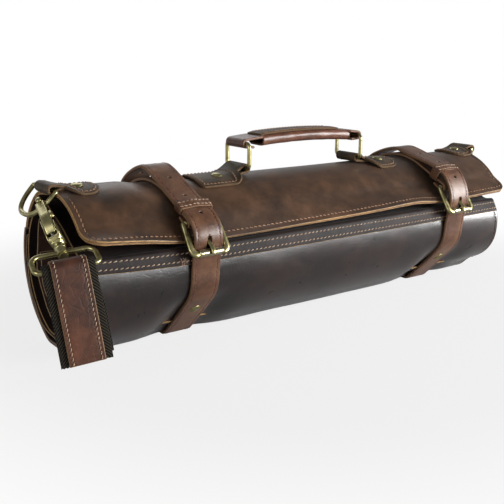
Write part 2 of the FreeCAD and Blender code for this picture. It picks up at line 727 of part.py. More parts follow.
def make_handle_core():
    """The handle's inner strap: an end loop round each ring, with an arched run between them."""
    half, low = S.tabSpan / 2, GRIP_LEVEL - TAB_BORE
    swing = math.degrees(math.asin(half / BAR_ARCH))
    tail = 9.5
    runs = [
        line((-half + tail, low), (-half, low)),
        arc((-half, GRIP_LEVEL), TAB_BORE, 90 + swing, 270),
        arc(ARCH_CENTRE, ARCH_RADIUS, 90 - swing, 90 + swing),
        arc((half, GRIP_LEVEL), TAB_BORE, -90, 90 - swing),
        line((half, low), (half - tail, low)),
    ]
    strap = band("handle_core", runs, "Dims.tabThick", "Dims.tabWidth", V(0, S.tabY, 0), FRONT)
    slim = S.gripWidth - 8.0
    side_cut = (S.tabWidth - slim) / 2 + 1
    waists = []
    for way in (-1, 1):
        centre = V(0, S.tabY + way * (slim / 2 + side_cut / 2), GRIP_LEVEL + 6)
        waists.append(box(f"handle_waist{way + 1}", "Dims.gripLength + 4", f"{side_cut}", "30",
                          centre))
    label(cut("handle_core_waisted", strap, group("handle_waists", *waists)), "handle_core")


def arched(name, section, length):
    """A section run along the handle's arch by turning it about the arch's centre."""
    swing = math.degrees(length / 2 / ARCH_RADIUS)
    turned = DOC.addObject("Part::Revolution", name)
    turned.Source = section
    turned.Axis = Y_AXIS
    turned.Base = V(ARCH_CENTRE[0], 0, ARCH_CENTRE[1])
    turned.Angle = 2 * swing
    turned.Symmetric = True
    turned.Solid = True
    return turned


def make_grip():
    """The rounded leather grip over the core, and the flat stitched cap on top of it."""
    crown = ARCH_CENTRE[1] + ARCH_RADIUS + S.tabThick + S.layerGap
    half, tall = S.gripWidth / 2, S.gripHeight
    side, under = 4.4, 4.4
    top, low = crown + 0.8, crown - tall + 0.8
    points = [(-half, top), (-half, low), (half, low), (half, top)]
    runs = rounded(points, [side, under, under, side], closed=True)
    outer = arched("grip_outer", sketch("grip_section", runs, SIDE, V(0, S.tabY, 0)), S.gripLength)
    room = (S.gripWidth - 8.0) / 2 + 0.3
    floor = crown - S.tabThick - S.layerGap * 2
    slot = [(-room, floor), (room, floor), (room, crown), (-room, crown)]
    slot_runs = rounded(slot, [0.4] * 4, closed=True)
    inner = arched("grip_slot", sketch("grip_slot_section", slot_runs, SIDE, V(0, S.tabY, 0)),
                   S.gripLength + 4)
    label(cut("grip_hollow", outer, inner), "handle_grip")
    base = crown + 0.8 + S.layerGap
    half_cap = S.gripWidth / 2 - 1.5
    cap = [(-half_cap, base), (half_cap, base), (half_cap, base + S.capThick), (-half_cap, base + S.capThick)]
    cap_runs = rounded(cap, [0.4, 0.4, 0.8, 0.8], closed=True)
    top = arched("cap_strip", sketch("cap_section", cap_runs, SIDE, V(0, S.tabY, 0)), S.capLength)
    label(top, "handle_cap_strip")


# ---- D-rings at the ends ---------------------------------------------------------------------

ANCHOR_X = S.rollLength / 2 + S.anchorOut
ANCHOR_BORE = S.dRingWire + S.hingeGap
ANCHOR_LEVEL = flap_spot(0, S.anchorY, S.layerGap)[0].z + S.tabThick + ANCHOR_BORE - 1.0


def make_anchors():
    """The end tabs that hold the D-rings, and their rivets."""
    rivets = []
    for side, hand in SIDES:
        name = "ring_anchor_" + hand
        tab = leather_tab(name, side, side * ANCHOR_X, S.anchorY, S.anchorPlateLength,
                          ANCHOR_LEVEL, ANCHOR_BORE)
        spot, out = anchor_rivet_spot(side)
        label(punch(name, tab, [(spot, out)]), name)
        rivets.append(rivet("anchor_rivet_" + hand, spot, out, TOP_GRIP))
    label(group("anchor_rivets", *rivets), "anchor_rivets")


def d_ring_frame(side):
    """A D-ring's own plane: own x along its bar, own y towards the bow, hanging outwards."""
    hang = math.radians(S.dRingHangAngle)
    bow = V(side * math.cos(hang), 0, -math.sin(hang))
    return FreeCAD.Rotation(Y_AXIS, bow, Y_AXIS.cross(bow), "XYZ"), bow


def make_d_ring(side, hand):
    """A D-shaped ring: a straight bar in the anchor's loop and a round bow."""
    half, side_run = S.dRingWidth / 2, S.dRingDepth - S.dRingWidth / 2
    corner = 3.0
    bow = half - 0.01
    runs = rounded([(-half, side_run), (-half, 0), (half, 0), (half, side_run)], [corner, corner])
    runs.append(Part.Arc(V(half, side_run, 0), V(0, side_run + half, 0), V(-half, side_run, 0)))
    rotation, _ = d_ring_frame(side)
    origin = V(side * ANCHOR_X, S.anchorY, ANCHOR_LEVEL)
    label(wire_loop("d_ring_" + hand, runs, "Dims.dRingWire", rotation, origin), "d_ring_" + hand)


# ---- snap hook on the left D-ring, and the end of the shoulder strap -------------------------

def hook_axes():
    """The hook's way from the D-ring to the strap, its opening's way and its broad face's way."""
    heading, drop = math.radians(S.hookHeadingAngle), math.radians(S.hookDropAngle)
    along = V(-math.sin(heading) * math.cos(drop), -math.cos(heading) * math.cos(drop), -math.sin(drop))
    _, bow = d_ring_frame(-1)
    seat = math.radians(S.hookSeatAngle)
    tangent = Y_AXIS * math.sin(seat) + bow * math.cos(seat)
    face = (tangent - along * tangent.dot(along)).normalize()
    if face.z < 0:
        face = -face
    return along, along.cross(face), face


def hook_seat():
    """The middle of the D-ring's wire where the hook hangs."""
    _, bow = d_ring_frame(-1)
    seat = math.radians(S.hookSeatAngle)
    centre = V(-ANCHOR_X, S.anchorY, ANCHOR_LEVEL) + bow * (S.dRingDepth - S.dRingWidth / 2)
    return centre + (bow * math.sin(seat) - Y_AXIS * math.cos(seat)) * (S.dRingWidth / 2)


HOOK_ALONG, HOOK_OPEN, HOOK_FACE = hook_axes()
HOOK_INSIDE = S.hookBend - S.hookWire
HOOK_CENTRE = hook_seat() + HOOK_ALONG * (HOOK_INSIDE - S.dRingWire - 0.8)
# Own z runs back up the hook to its bend, own x towards its opening, own y across its face.
HOOK_FRAME = FreeCAD.Placement(HOOK_CENTRE, FreeCAD.Rotation(HOOK_OPEN, HOOK_FACE, -HOOK_ALONG, "ZYX"))


def local_box(name, low, high):
    """A box between two corners of a sub-part's own frame."""
    made = DOC.addObject("Part::Box", name)
    made.Length, made.Width, made.Height = high[0] - low[0], high[1] - low[1], high[2] - low[2]
    made.Placement.Base = V(*low)
    return made


def local_rod(name, radius, top, bottom, x=0.0):
    """A round rod along the own z axis between two levels; its radius is an expression."""
    made = DOC.addObject("Part::Cylinder", name)
    bind(made, Radius=radius)
    made.Height = top - bottom
    made.Placement.Base = V(x, 0, bottom)
    return made


BOLT_WIDTH = 6.0
BOLT_DEPTH = 2 * S.hookWire
BOLT_TOP = -2.6
BOLT_LENGTH = 38.0
BOLT_PLAY = 0.15
CHANNEL_TOP = -22.0
COLLAR_END = -(S.hookBody + S.collarLength)
BOSS_HALF = 3.2
RING_TOP = COLLAR_END - 0.3 - BOSS_HALF


def make_hook():
    """The snap hook's body: a round bend, a tapered back and a channel for its bolt."""
    bend, wire, deep = S.hookBend, S.hookWire, S.hookBody
    hook = DOC.addObject("Part::Torus", "hook_bend")
    bind(hook, Radius1="Dims.hookBend", Radius2="Dims.hookWire")
    hook.Angle3 = 180
    hook.Placement.Rotation = FreeCAD.Rotation(X_AXIS, 90)
    tip = local_rod("hook_tip", "Dims.hookWire", 0, BOLT_TOP + 0.3, bend)
    back = [(-bend - wire, 0.4), (-bend - wire, -deep + 6), (-bend - wire + 4, -deep), (4, -deep),
            (bend - wire - 0.3, -deep + 3), (bend - wire - 0.3, CHANNEL_TOP),
            (-bend + wire, CHANNEL_TOP + 6), (-bend + wire, 0.4)]
    runs = rounded(back, [0.5, 4.0, 2.0, 1.0, 1.0, 3.0, 3.0, 0.5], closed=True)
    spine = extrude("hook_back", sketch("hook_back_outline", runs, FRONT), f"{BOLT_WIDTH}", Y_AXIS)
    wall = 1.1
    half = BOLT_WIDTH / 2 + BOLT_PLAY
    case = local_box("hook_case", (-3, -half - wall, -deep), (bend + 1.4, half + wall, CHANNEL_TOP))
    room = local_box("hook_channel", (bend - wire - 0.3, -half, -deep + 1.2),
                     (bend + wire + 2, half, CHANNEL_TOP + 1))
    collar = local_rod("hook_collar", "4.6", -deep + 0.5, COLLAR_END)
    bore = local_rod("hook_bore", "Dims.swivelPost", -deep + 0.2, COLLAR_END - 1)
    whole = fuse("hook_blank", cut("hook_cased", fuse("hook_solid", spine, case), room), collar, tip, hook)
    made = cut("hook_bored", whole, bore)
    made.Placement = HOOK_FRAME
    label(made, "snap_hook")


def make_bolt():
    """The hook's sliding bolt, with its thumb nub and a blind bore for the spring."""
    bend, wire = S.hookBend, S.hookWire
    low = BOLT_TOP - BOLT_LENGTH
    side = [(bend - wire, BOLT_TOP), (bend + wire, BOLT_TOP), (bend + wire, CHANNEL_TOP - 2),
            (bend + wire + 1.6, CHANNEL_TOP - 4), (bend + wire + 1.6, CHANNEL_TOP - 9),
            (bend + wire, CHANNEL_TOP - 11), (bend + wire, low), (bend - wire, low)]
    runs = rounded(side, [0.6, 1.0, 1.0, 0.8, 0.8, 1.0, 0.8, 0.6], closed=True)
    bar = extrude("bolt_bar", sketch("bolt_outline", runs, FRONT), f"{BOLT_WIDTH}", Y_AXIS)
    bore = local_rod("bolt_bore", "1.7", low + 15, low - 1, bend)
    made = cut("bolt_bored", bar, bore)
    made.Placement = HOOK_FRAME
    label(made, "hook_bolt")


def make_bolt_spring():
    """The coil spring that closes the bolt, standing on the channel's floor."""
    floor = -S.hookBody + 1.2
    coil = Part.makeHelix(2.0, 10.0, 1.2)
    profile = Part.Wire(Part.makeCircle(0.25, V(1.2, 0, 0), Y_AXIS))
    turned = Part.Wire(coil.Edges).makePipeShell([profile], True, True)
    spring = DOC.addObject("Part::Feature", "bolt_spring_coil")
    spring.Shape = turned
    spring.Placement = HOOK_FRAME.multiply(FreeCAD.Placement(V(S.hookBend, 0, floor + 0.3), PLAN))
    label(spring, "bolt_spring")


def make_swivel_pin():
    """The rivet on which the strap ring turns: a post in the collar and a head below the boss."""
    post = local_rod("pin_post", "Dims.swivelPost", -S.hookBody + 0.2, RING_TOP - BOSS_HALF - 1.5)
    head = local_rod("pin_head", "3.4", RING_TOP - BOSS_HALF - 0.3, RING_TOP - BOSS_HALF - 1.9)
    made = fuse("pin", post, head)
    made.Placement = HOOK_FRAME
    label(made, "swivel_pin")


# The ring swivels to a strap that hangs a little askew in front of the roll.
STRAP_LEVEL_WAY = V(0.97, -0.22, 0.10)
RING_WAY = (STRAP_LEVEL_WAY - HOOK_ALONG * STRAP_LEVEL_WAY.dot(HOOK_ALONG)).normalize()
RING_CENTRE = HOOK_CENTRE + HOOK_ALONG * -RING_TOP
# Own x runs along the ring's bars, own y down its depth.
RING_FRAME = FreeCAD.Placement(RING_CENTRE, FreeCAD.Rotation(RING_WAY, HOOK_ALONG, Z_AXIS, "XYZ"))


def make_strap_ring():
    """The oval ring that carries the shoulder strap, with its boss on the swivel pin."""
    half, deep = S.strapRingWidth / 2, S.strapRingDepth
    points = [(half, 0), (half, deep), (-half, deep), (-half, 0)]
    runs = rounded(points, [7.0, 4.0, 4.0, 7.0], closed=True)
    wire = wire_loop("strap_ring", runs, "Dims.strapRingWire", RING_FRAME.Rotation, RING_CENTRE)
    boss = cylinder("strap_ring_boss", "4.2", f"{2 * BOSS_HALF}", RING_CENTRE, HOOK_ALONG)
    bore = cylinder("strap_ring_bore", "Dims.swivelPost + Dims.rollerFit", "12", RING_CENTRE, HOOK_ALONG)
    label(cut("strap_ring_bored", fuse("strap_ring_blank", wire, boss), bore), "strap_ring")


HANG_WAY = V(0.12, -0.23, -0.97)
BAR_CENTRE = RING_CENTRE + HOOK_ALONG * S.strapRingDepth
HANG_DOWN = (HANG_WAY - RING_WAY * HANG_WAY.dot(RING_WAY)).normalize()
HANG_BACK = (-HANG_DOWN).cross(RING_WAY)
# Side sketches of the hanging strap: own x points to the roll, own y points up.
HANG_FRAME = FreeCAD.Rotation(HANG_BACK, -HANG_DOWN, RING_WAY, "ZXY")
WEB_BORE = S.strapRingWire + S.hingeGap


def make_webbing():
    """The strap's webbing, folded over the ring's lower bar and hanging in two laps."""
    bore = WEB_BORE
    runs = [line((bore, -S.webDrop + 3), (bore, 0)), arc((0, 0), bore, 0, 180),
            line((-bore, 0), (-bore, -S.webDrop))]
    label(band("webbing", runs, "1.5 * Dims.webThick", "Dims.webWidth", BAR_CENTRE, HANG_FRAME),
          "shoulder_webbing")


def make_facing():
    """The leather strip sewn along the webbing's outside."""
    bore = WEB_BORE + 1.5 * S.webThick + S.layerGap
    runs = [line((bore, -12), (bore, 0)), arc((0, 0), bore, 0, 180), line((-bore, 0), (-bore, -S.webDrop))]
    label(band("facing", runs, "Dims.facingThick", "Dims.facingWidth", BAR_CENTRE, HANG_FRAME),
          "shoulder_facing")


# ---- assembly --------------------------------------------------------------------------------

def strap_rivet_spots():
    """Spots of all rivets that pass through the outer panel."""
    spots = []
    for side, _ in SIDES:
        spots.append(rivet_spot(side, FRONT_RIVET, 0))
        spots.append(rivet_spot(side, REAR_RIVET, 0))
    return spots


def build():
    """Make every sub-part, check it and write it to its own file."""
    top_spots = [tab_rivet_spot(side) for side, _ in SIDES] + [anchor_rivet_spot(side) for side, _ in SIDES]
    make_panel(strap_rivet_spots())
    make_lining(strap_rivet_spots())
    make_flap(top_spots)
    make_inner_panel()
    make_pocket_panel()
    make_guard_flap()
    for side, hand in SIDES:
        make_hole_strap(side, hand)
        make_buckle_strap(side, hand)
        make_keeper(side, hand)
        make_buckle_frame(side, hand)
        make_roller(side, hand)
        make_tongue(side, hand)
        make_handle_ring(side, hand)
        make_d_ring(side, hand)
    make_strap_rivets()
    make_handle_tabs()
    make_handle_core()
    make_grip()
    make_anchors()
    make_hook()
    make_bolt()
    make_bolt_spring()
    make_swivel_pin()
    make_strap_ring()
    make_webbing()
    make_facing()
    DOC.recompute()


def check_and_write():
    """Stop on any failed object or unsound shape, then write one STEP file per sub-part."""
    for item in DOC.Objects:
        if "Invalid" in item.State or "Error" in item.State:
            raise RuntimeError(f"{item.Name} failed: {item.State}")
    for item in SUBPARTS:
        if item.Shape.isNull() or not item.Shape.isValid() or not item.Shape.Solids:
            raise RuntimeError(f"{item.Label} has no sound solid")
    os.makedirs("parts", exist_ok=True)
    for item in SUBPARTS:
        item.Shape.exportStep(os.path.join("parts", item.Label + ".step"))
        box_ = item.Shape.BoundBox
        print(f"{item.Label:20s} solids {len(item.Shape.Solids)} volume {item.Shape.Volume:9.1f} "
              f"x {box_.XMin:7.1f} {box_.XMax:7.1f} y {box_.YMin:6.1f} {box_.YMax:6.1f} "
              f"z {box_.ZMin:6.1f} {box_.ZMax:6.1f}")


build()
check_and_write()
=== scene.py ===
"""Dresses the leather brush roll: hide, straps, brass fittings, strap end, light and camera.

Lengths are millimetres in the object's own frame until a mesh is made, which is in metres.
X runs along the roll, -Y is the front with the buckles, +Z is up.
"""

import json
import logging
import math
from dataclasses import dataclass, field
from enum import Enum
from typing import Any, ClassVar, Sequence

import bmesh
import bpy
import numpy as np
from mathutils import Matrix, Vector


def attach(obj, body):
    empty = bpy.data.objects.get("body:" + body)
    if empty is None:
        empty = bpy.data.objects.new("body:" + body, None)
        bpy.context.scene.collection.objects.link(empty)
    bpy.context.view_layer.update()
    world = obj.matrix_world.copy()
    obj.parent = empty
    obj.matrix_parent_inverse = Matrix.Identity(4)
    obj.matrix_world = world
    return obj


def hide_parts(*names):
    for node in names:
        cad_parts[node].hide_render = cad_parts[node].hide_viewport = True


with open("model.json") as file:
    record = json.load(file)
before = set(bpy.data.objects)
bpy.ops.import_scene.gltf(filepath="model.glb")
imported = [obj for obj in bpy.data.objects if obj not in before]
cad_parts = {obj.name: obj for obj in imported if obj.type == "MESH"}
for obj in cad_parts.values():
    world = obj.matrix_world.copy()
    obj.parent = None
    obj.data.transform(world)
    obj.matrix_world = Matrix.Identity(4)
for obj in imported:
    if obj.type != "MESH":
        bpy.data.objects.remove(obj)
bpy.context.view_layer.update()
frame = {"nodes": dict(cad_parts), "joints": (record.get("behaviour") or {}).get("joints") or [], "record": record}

LOG = logging.getLogger("brush_roll")
Array = np.ndarray
Points = Sequence[Sequence[float]]
MM = 0.001
ALONG_X = np.array([1.0, 0.0, 0.0])
ALONG_Y = np.array([0.0, 1.0, 0.0])


# ---- finishes --------------------------------------------------------------------------------

def linear(code: str) -> tuple[float, ...]:
    """Turn six hex digits of an sRGB colour into linear red, green and blue and an alpha of one."""
    parts = [int(code[start:start + 2], 16) / 255.0 for start in (0, 2, 4)]
    return (*(c / 12.92 if c <= 0.04045 else ((c + 0.055) / 1.055) ** 2.4 for c in parts), 1.0)


class Graph:
    """The node tree of a material or a world, with short ways to add the usual nodes."""

    def __init__(self, name: str, world: bool = False) -> None:
        """Make an empty material, or a world, with its output.

        Args:
            name: the name of the material or world.
            world: whether it is a world.
        """
        self.owner = (bpy.data.worlds if world else bpy.data.materials).new(name)
        self.owner.use_nodes = True
        self.tree = self.owner.node_tree
        self.tree.nodes.clear()
        self.out = self.add("OutputWorld" if world else "OutputMaterial")

    def add(self, kind: str, sockets: dict[Any, Any] | None = None, **settings: Any) -> Any:
        """Add a node, set its properties, and fill or link its inputs.

        Args:
            kind: the node's type without the ShaderNode prefix.
            sockets: input name or number to a value, or to an output socket to link from.
            settings: properties of the node itself.
        Returns:
            The new node.
        """
        node = self.tree.nodes.new("ShaderNode" + kind)
        for key, value in settings.items():
            setattr(node, key, value)
        for key, value in (sockets or {}).items():
            if isinstance(value, bpy.types.NodeSocket):
                self.tree.links.new(value, node.inputs[key])
            else:
                node.inputs[key].default_value = value
        return node

    def place(self, stretch: tuple[float, float, float] | None = None) -> Any:
        """Give the object's own coordinates, scaled along X, Y and Z where a stretch is given."""
        place = self.add("TexCoord").outputs["Object"]
        return self.add("Mapping", {"Vector": place, "Scale": stretch}).outputs[0] if stretch else place

    def noise(self, place: Any, scale: float, detail: float, **more: float) -> Any:
        """Add a noise texture, its scale in waves per metre, and give back the socket of its value."""
        sockets = {"Vector": place, "Scale": scale, "Detail": detail, **more}
        return self.add("TexNoise", sockets).outputs["Fac"]

    def cells(self, place: Any, scale: float, feature: str) -> Any:
        """Add a Voronoi texture of a feature and give back the socket of its distance."""
        return self.add("TexVoronoi", {"Vector": place, "Scale": scale}, feature=feature).outputs["Distance"]

    def ramp(self, source: Any, stops: Sequence[tuple[float, Any]]) -> Any:
        """Add a colour ramp fed by a socket.

        Args:
            source: the socket that drives the ramp.
            stops: places from 0 to 1 with a hex colour or a grey level at each.
        Returns:
            The ramp's colour output.
        """
        node = self.add("ValToRGB", {0: source})
        elements = node.color_ramp.elements
        while len(elements) < len(stops):
            elements.new(0.5)
        for element, (place, shade) in zip(elements, stops):
            element.position = place
            element.color = linear(shade) if isinstance(shade, str) else (shade, shade, shade, 1)
        return node.outputs[0]

    def mix(self, factor: Any, a: Any, b: Any, blend: str = "MIX") -> Any:
        """Mix two colours, hex or sockets, by a factor and give back the socket of the result."""
        a, b = (linear(shade) if isinstance(shade, str) else shade for shade in (a, b))
        return self.add("Mix", {0: factor, 6: a, 7: b}, data_type="RGBA", blend_type=blend).outputs[2]

    def math(self, operation: str, a: Any, b: Any = 0.0) -> Any:
        """Join two values by an arithmetic operation and give back the result's socket."""
        return self.add("Math", {0: a, 1: b}, operation=operation).outputs[0]

    def total(self, *terms: tuple[Any, Any], base: float = 0.0, clamp: bool = False) -> Any:
        """Add up values, each times its weight.

        Args:
            terms: pairs of a socket and its weight.
            base: what the sum starts from.
            clamp: whether the sum is held between 0 and 1.
        Returns:
            The socket of the sum.
        """
        result: Any = base
        for value, weight in terms:
            result = self.math("ADD", self.math("MULTIPLY", value, weight), result)
        result.node.use_clamp = clamp
        return result

    def finish(self, shader: Any) -> Any:
        """Link the shader to the output and give back the material or world."""
        self.tree.links.new(shader.outputs[0], self.out.inputs[0])
        return self.owner

    def surface(self, colour: Any, gloss: Any, height: Any, bump: tuple[float, float],
                more: dict[str, float]) -> Any:
        """Finish the material with a principled shader.

        Args:
            colour: the socket of its colour.
            gloss: its roughness, a number or a socket.
            height: the socket of its relief.
            bump: the relief's strength and its height in metres.
            more: the shader's other inputs.
        Returns:
            The material.
        """
        normal = self.add("Bump", {"Height": height, "Strength": bump[0], "Distance": bump[1]}).outputs[0]
        return self.finish(self.add("BsdfPrincipled", {"Base Color": colour, "Roughness": gloss,
                                                       "Normal": normal, **more}))


@dataclass(frozen=True)
class Hide:
    """Vegetable-tanned cowhide, oiled and waxed: mottled pull-up colour and a fine pebbled grain."""

    name: str
    dark: str
    body: str
    light: str
    edge: str
    scuff_colour: str
    roughness: float = 0.5
    shine: float = 0.0
    grain_mm: float = 0.8
    mottle_mm: float = 30.0
    scuff: float = 0.2
    crease: float = 0.2
    relief: float = 0.3
    ior: float = 1.47

    def build(self) -> Any:
        """Make the material: mottling, scuffs, creases, grain, and a tan raw edge on the rim.

        Returns:
            The material.
        """
        g = Graph(self.name)
        place = g.place()
        mottle = g.noise(place, 1000 / self.mottle_mm, 5.0, Roughness=0.6, Distortion=0.6)
        cloud = g.noise(place, 1000 / (self.mottle_mm * 0.22), 4.0, Roughness=0.65)
        colour = g.ramp(g.total((mottle, 0.7), (cloud, 0.3)),
                        [(0.34, self.dark), (0.5, self.body), (0.68, self.light)])
        # Scuffs are long, thin rubs along the roll where the wax has moved.
        rubs = g.noise(g.place((0.35, 1.0, 1.0)), 95.0, 6.0, Roughness=0.75, Distortion=1.2)
        rub = g.math("MULTIPLY", g.ramp(rubs, [(0.58, 0.0), (0.72, 1.0)]), self.scuff)
        colour = g.mix(rub, colour, self.scuff_colour)
        # Creases follow the cells of the hide, a few millimetres across, where the mottling is dark.
        wander = g.noise(place, 60.0, 3.0).node.outputs["Color"]
        cells = g.cells(g.mix(0.012, place, wander, "ADD"), 1000 / 9.0, "DISTANCE_TO_EDGE")
        lines = g.math("SUBTRACT", 1.0, g.ramp(cells, [(0.0, 0.0), (0.09, 1.0)]))
        crease = g.math("MULTIPLY", lines, g.ramp(mottle, [(0.42, 1.0), (0.62, 0.0)]))
        grain = g.cells(place, 1000 / self.grain_mm, "SMOOTH_F1")
        pores = g.noise(place, 1000 / (self.grain_mm * 0.6), 3.0)
        swell = g.noise(place, 1000 / 14.0, 2.0)
        height = g.total((grain, 0.5), (pores, 0.4), (crease, -self.crease * 2.2), (swell, 2.4))
        # The raw edge is bare, fibrous tan leather under a thin burnish.
        bare = g.ramp(g.add("Attribute", attribute_name="rim").outputs["Fac"], [(0.22, 0.0), (0.48, 1.0)])
        fibre = g.ramp(g.noise(g.place((0.2, 1.0, 1.0)), 900.0, 4.0), [(0.45, 0.0), (0.75, 0.8)])
        colour = g.mix(bare, colour, g.mix(fibre, self.edge, self.body))
        gloss = g.total((cloud, 0.22), (rub, 0.15), (bare, 0.35), base=self.roughness - 0.11, clamp=True)
        return g.surface(colour, gloss, height, (self.relief, 0.0004),
                         {"IOR": self.ior, "Coat Weight": self.shine, "Coat Roughness": 0.3,
                          "Sheen Weight": 0.04})


@dataclass(frozen=True)
class Brass:
    """Die-cast zinc plated in antique brass: rubbed bright on ridges, olive-brown in hollows."""

    name: str
    bright: str
    dull: str
    roughness: float

    def build(self) -> Any:
        """Make the material: worn tone, fine casting grain and uneven gloss.

        Returns:
            The material.
        """
        g = Graph(self.name)
        worn = g.noise(g.place(), 170.0, 4.0, Roughness=0.6)
        ridge = g.math("SUBTRACT", g.add("NewGeometry").outputs["Pointiness"], 0.5)
        colour = g.ramp(g.total((worn, 0.8), (ridge, 1.5)), [(0.25, self.dull), (0.55, self.bright)])
        gloss = g.total((worn, 0.16), base=self.roughness - 0.08)
        return g.surface(colour, gloss, g.noise(g.place(), 1600.0, 3.0), (0.12, 0.0001), {"Metallic": 1.0})


@dataclass(frozen=True)
class Thread:
    """Waxed linen sewing thread: a light and a shaded ply, with a matt waxed gloss."""

    name: str
    colour: str
    shade: str

    def build(self) -> Any:
        """Make the material.

        Returns:
            The material.
        """
        g = Graph(self.name)
        tone = g.noise(g.place(), 900.0, 2.0)
        return g.surface(g.ramp(tone, [(0.35, self.shade), (0.65, self.colour)]), 0.7, tone,
                         (0.4, 0.0002), {"Sheen Weight": 0.1})


@dataclass(frozen=True)
class Webbing:
    """Cotton webbing in a herringbone weave: slanted ribs that turn every few millimetres."""

    name: str
    light: str
    dark: str
    rib_mm: float = 2.4
    stripe_mm: float = 6.2

    def build(self) -> Any:
        """Make the material: ribs at 45 degrees whose slant mirrors in each stripe.

        Returns:
            The material.
        """
        g = Graph(self.name)
        parts = g.add("SeparateXYZ", {0: g.add("UVMap").outputs["UV"]}).outputs
        across = g.math("PINGPONG", g.math("MULTIPLY", parts[1], 1000.0), self.stripe_mm)
        along_it = g.math("MULTIPLY", parts[0], 1000.0)
        phase = g.math("MULTIPLY", g.math("ADD", along_it, across), math.tau / self.rib_mm)
        wave = g.total((g.math("SINE", phase), 0.5), base=0.5)
        tone = g.total((wave, 0.7), (g.noise(g.place(), 1400.0, 3.0), 0.3))
        return g.surface(g.ramp(tone, [(0.25, self.dark), (0.8, self.light)]), 0.9, tone,
                         (0.8, 0.0005), {"Specular IOR Level": 0.2})


class Finish(Enum):
    """The named finishes of the object."""

    PANEL = Hide("oiled_bridle_hide", "0d0807", "1a100d", "2c1a15", "7d6044", "4a211a", roughness=0.31,
                 shine=0.7, mottle_mm=46.0, scuff=0.35, crease=0.35, relief=0.22)
    STRIP = Hide("oiled_bridle_hide_inner", "0c0706", "1a100d", "281813", "a08258", "4a211a",
                 roughness=0.55, mottle_mm=40.0, ior=1.28)
    FLAP = Hide("crazy_horse_hide", "24180f", "3e2919", "583c27", "b48e5c", "64402a", roughness=0.42,
                shine=0.08, grain_mm=0.9, mottle_mm=52.0, crease=0.15, relief=0.25)
    STRAP = Hide("harness_hide", "40281a", "5c3c28", "76543a", "7c5c40", "83482f", roughness=0.4,
                 shine=0.12, mottle_mm=22.0)
    FLAP_INSIDE = Hide("flap_lining_hide", "2e1c12", "4a3021", "6a4a34", "a07c54", "7a4a34",
                       roughness=0.6, grain_mm=0.9, scuff=0.1)
    TAB = Hide("harness_hide_dark", "2a2115", "3f3122", "574431", "66503a", "5a3a28", mottle_mm=18.0,
               scuff=0.15, ior=1.28)
    GRIP = Hide("rolled_grip_hide", "3c1f14", "5e3826", "7c5440", "7a5a48", "7a4430", roughness=0.36,
                shine=0.15, mottle_mm=16.0, relief=0.25)
    FACING = Hide("strap_facing_hide", "2a160e", "4a2817", "683c26", "8f7250", "6a3a24", crease=0.4)
    LINING = Hide("split_hide_lining", "2a1810", "40291f", "5e4030", "a08868", "6a4030",
                  roughness=0.62, grain_mm=1.1, mottle_mm=26.0, crease=0.3, relief=0.4)
    BRASS = Brass("antique_brass_plate", "c3ba88", "857c52", 0.3)
    ROLLER = Brass("rubbed_brass_plate", "d8d3b4", "a59d7c", 0.22)
    STEEL = Brass("spring_steel_wire", "b8b8b4", "7c7c78", 0.25)
    PALE_THREAD = Thread("pale_waxed_thread", "b89e86", "80674f")
    TAN_THREAD = Thread("tan_waxed_thread", "a9805f", "70503a")
    RED_THREAD = Thread("oxblood_waxed_thread", "7c4636", "4a241a")
    WEB = Webbing("herringbone_webbing", "38332a", "060504")


@dataclass
class Finishes:
    """Builds each finish once and hands it out."""

    made: dict[Finish, Any] = field(default_factory=dict)

    def get(self, finish: Finish) -> Any:
        """Give the material of a finish, making it at the first call.

        Args:
            finish: which one.
        Returns:
            The material.
        """
        if finish not in self.made:
            self.made[finish] = finish.value.build()
        return self.made[finish]


FINISHES = Finishes()


# ---- meshes ----------------------------------------------------------------------------------

@dataclass
class Form:
    """A mesh still held as arrays: vertices, quads or triangles, UVs and a rim value per vertex."""

    verts: Array
    faces: list[Array]
    uv: Array | None = None
    rim: Array | None = None

    @staticmethod
    def join(forms: Sequence["Form"]) -> "Form":
        """Put several forms into one, each keeping its own faces.

        Args:
            forms: what to join.
        Returns:
            The one form.
        """
        offset, faces = 0, []
        for form in forms:
            faces += [block + offset for block in form.faces]
            offset += len(form.verts)
        uv = [f.uv if f.uv is not None else np.zeros((len(f.verts), 2)) for f in forms]
        rim = [f.rim if f.rim is not None else np.zeros(len(f.verts)) for f in forms]
        return Form(np.vstack([f.verts for f in forms]), faces, np.vstack(uv), np.concatenate(rim))


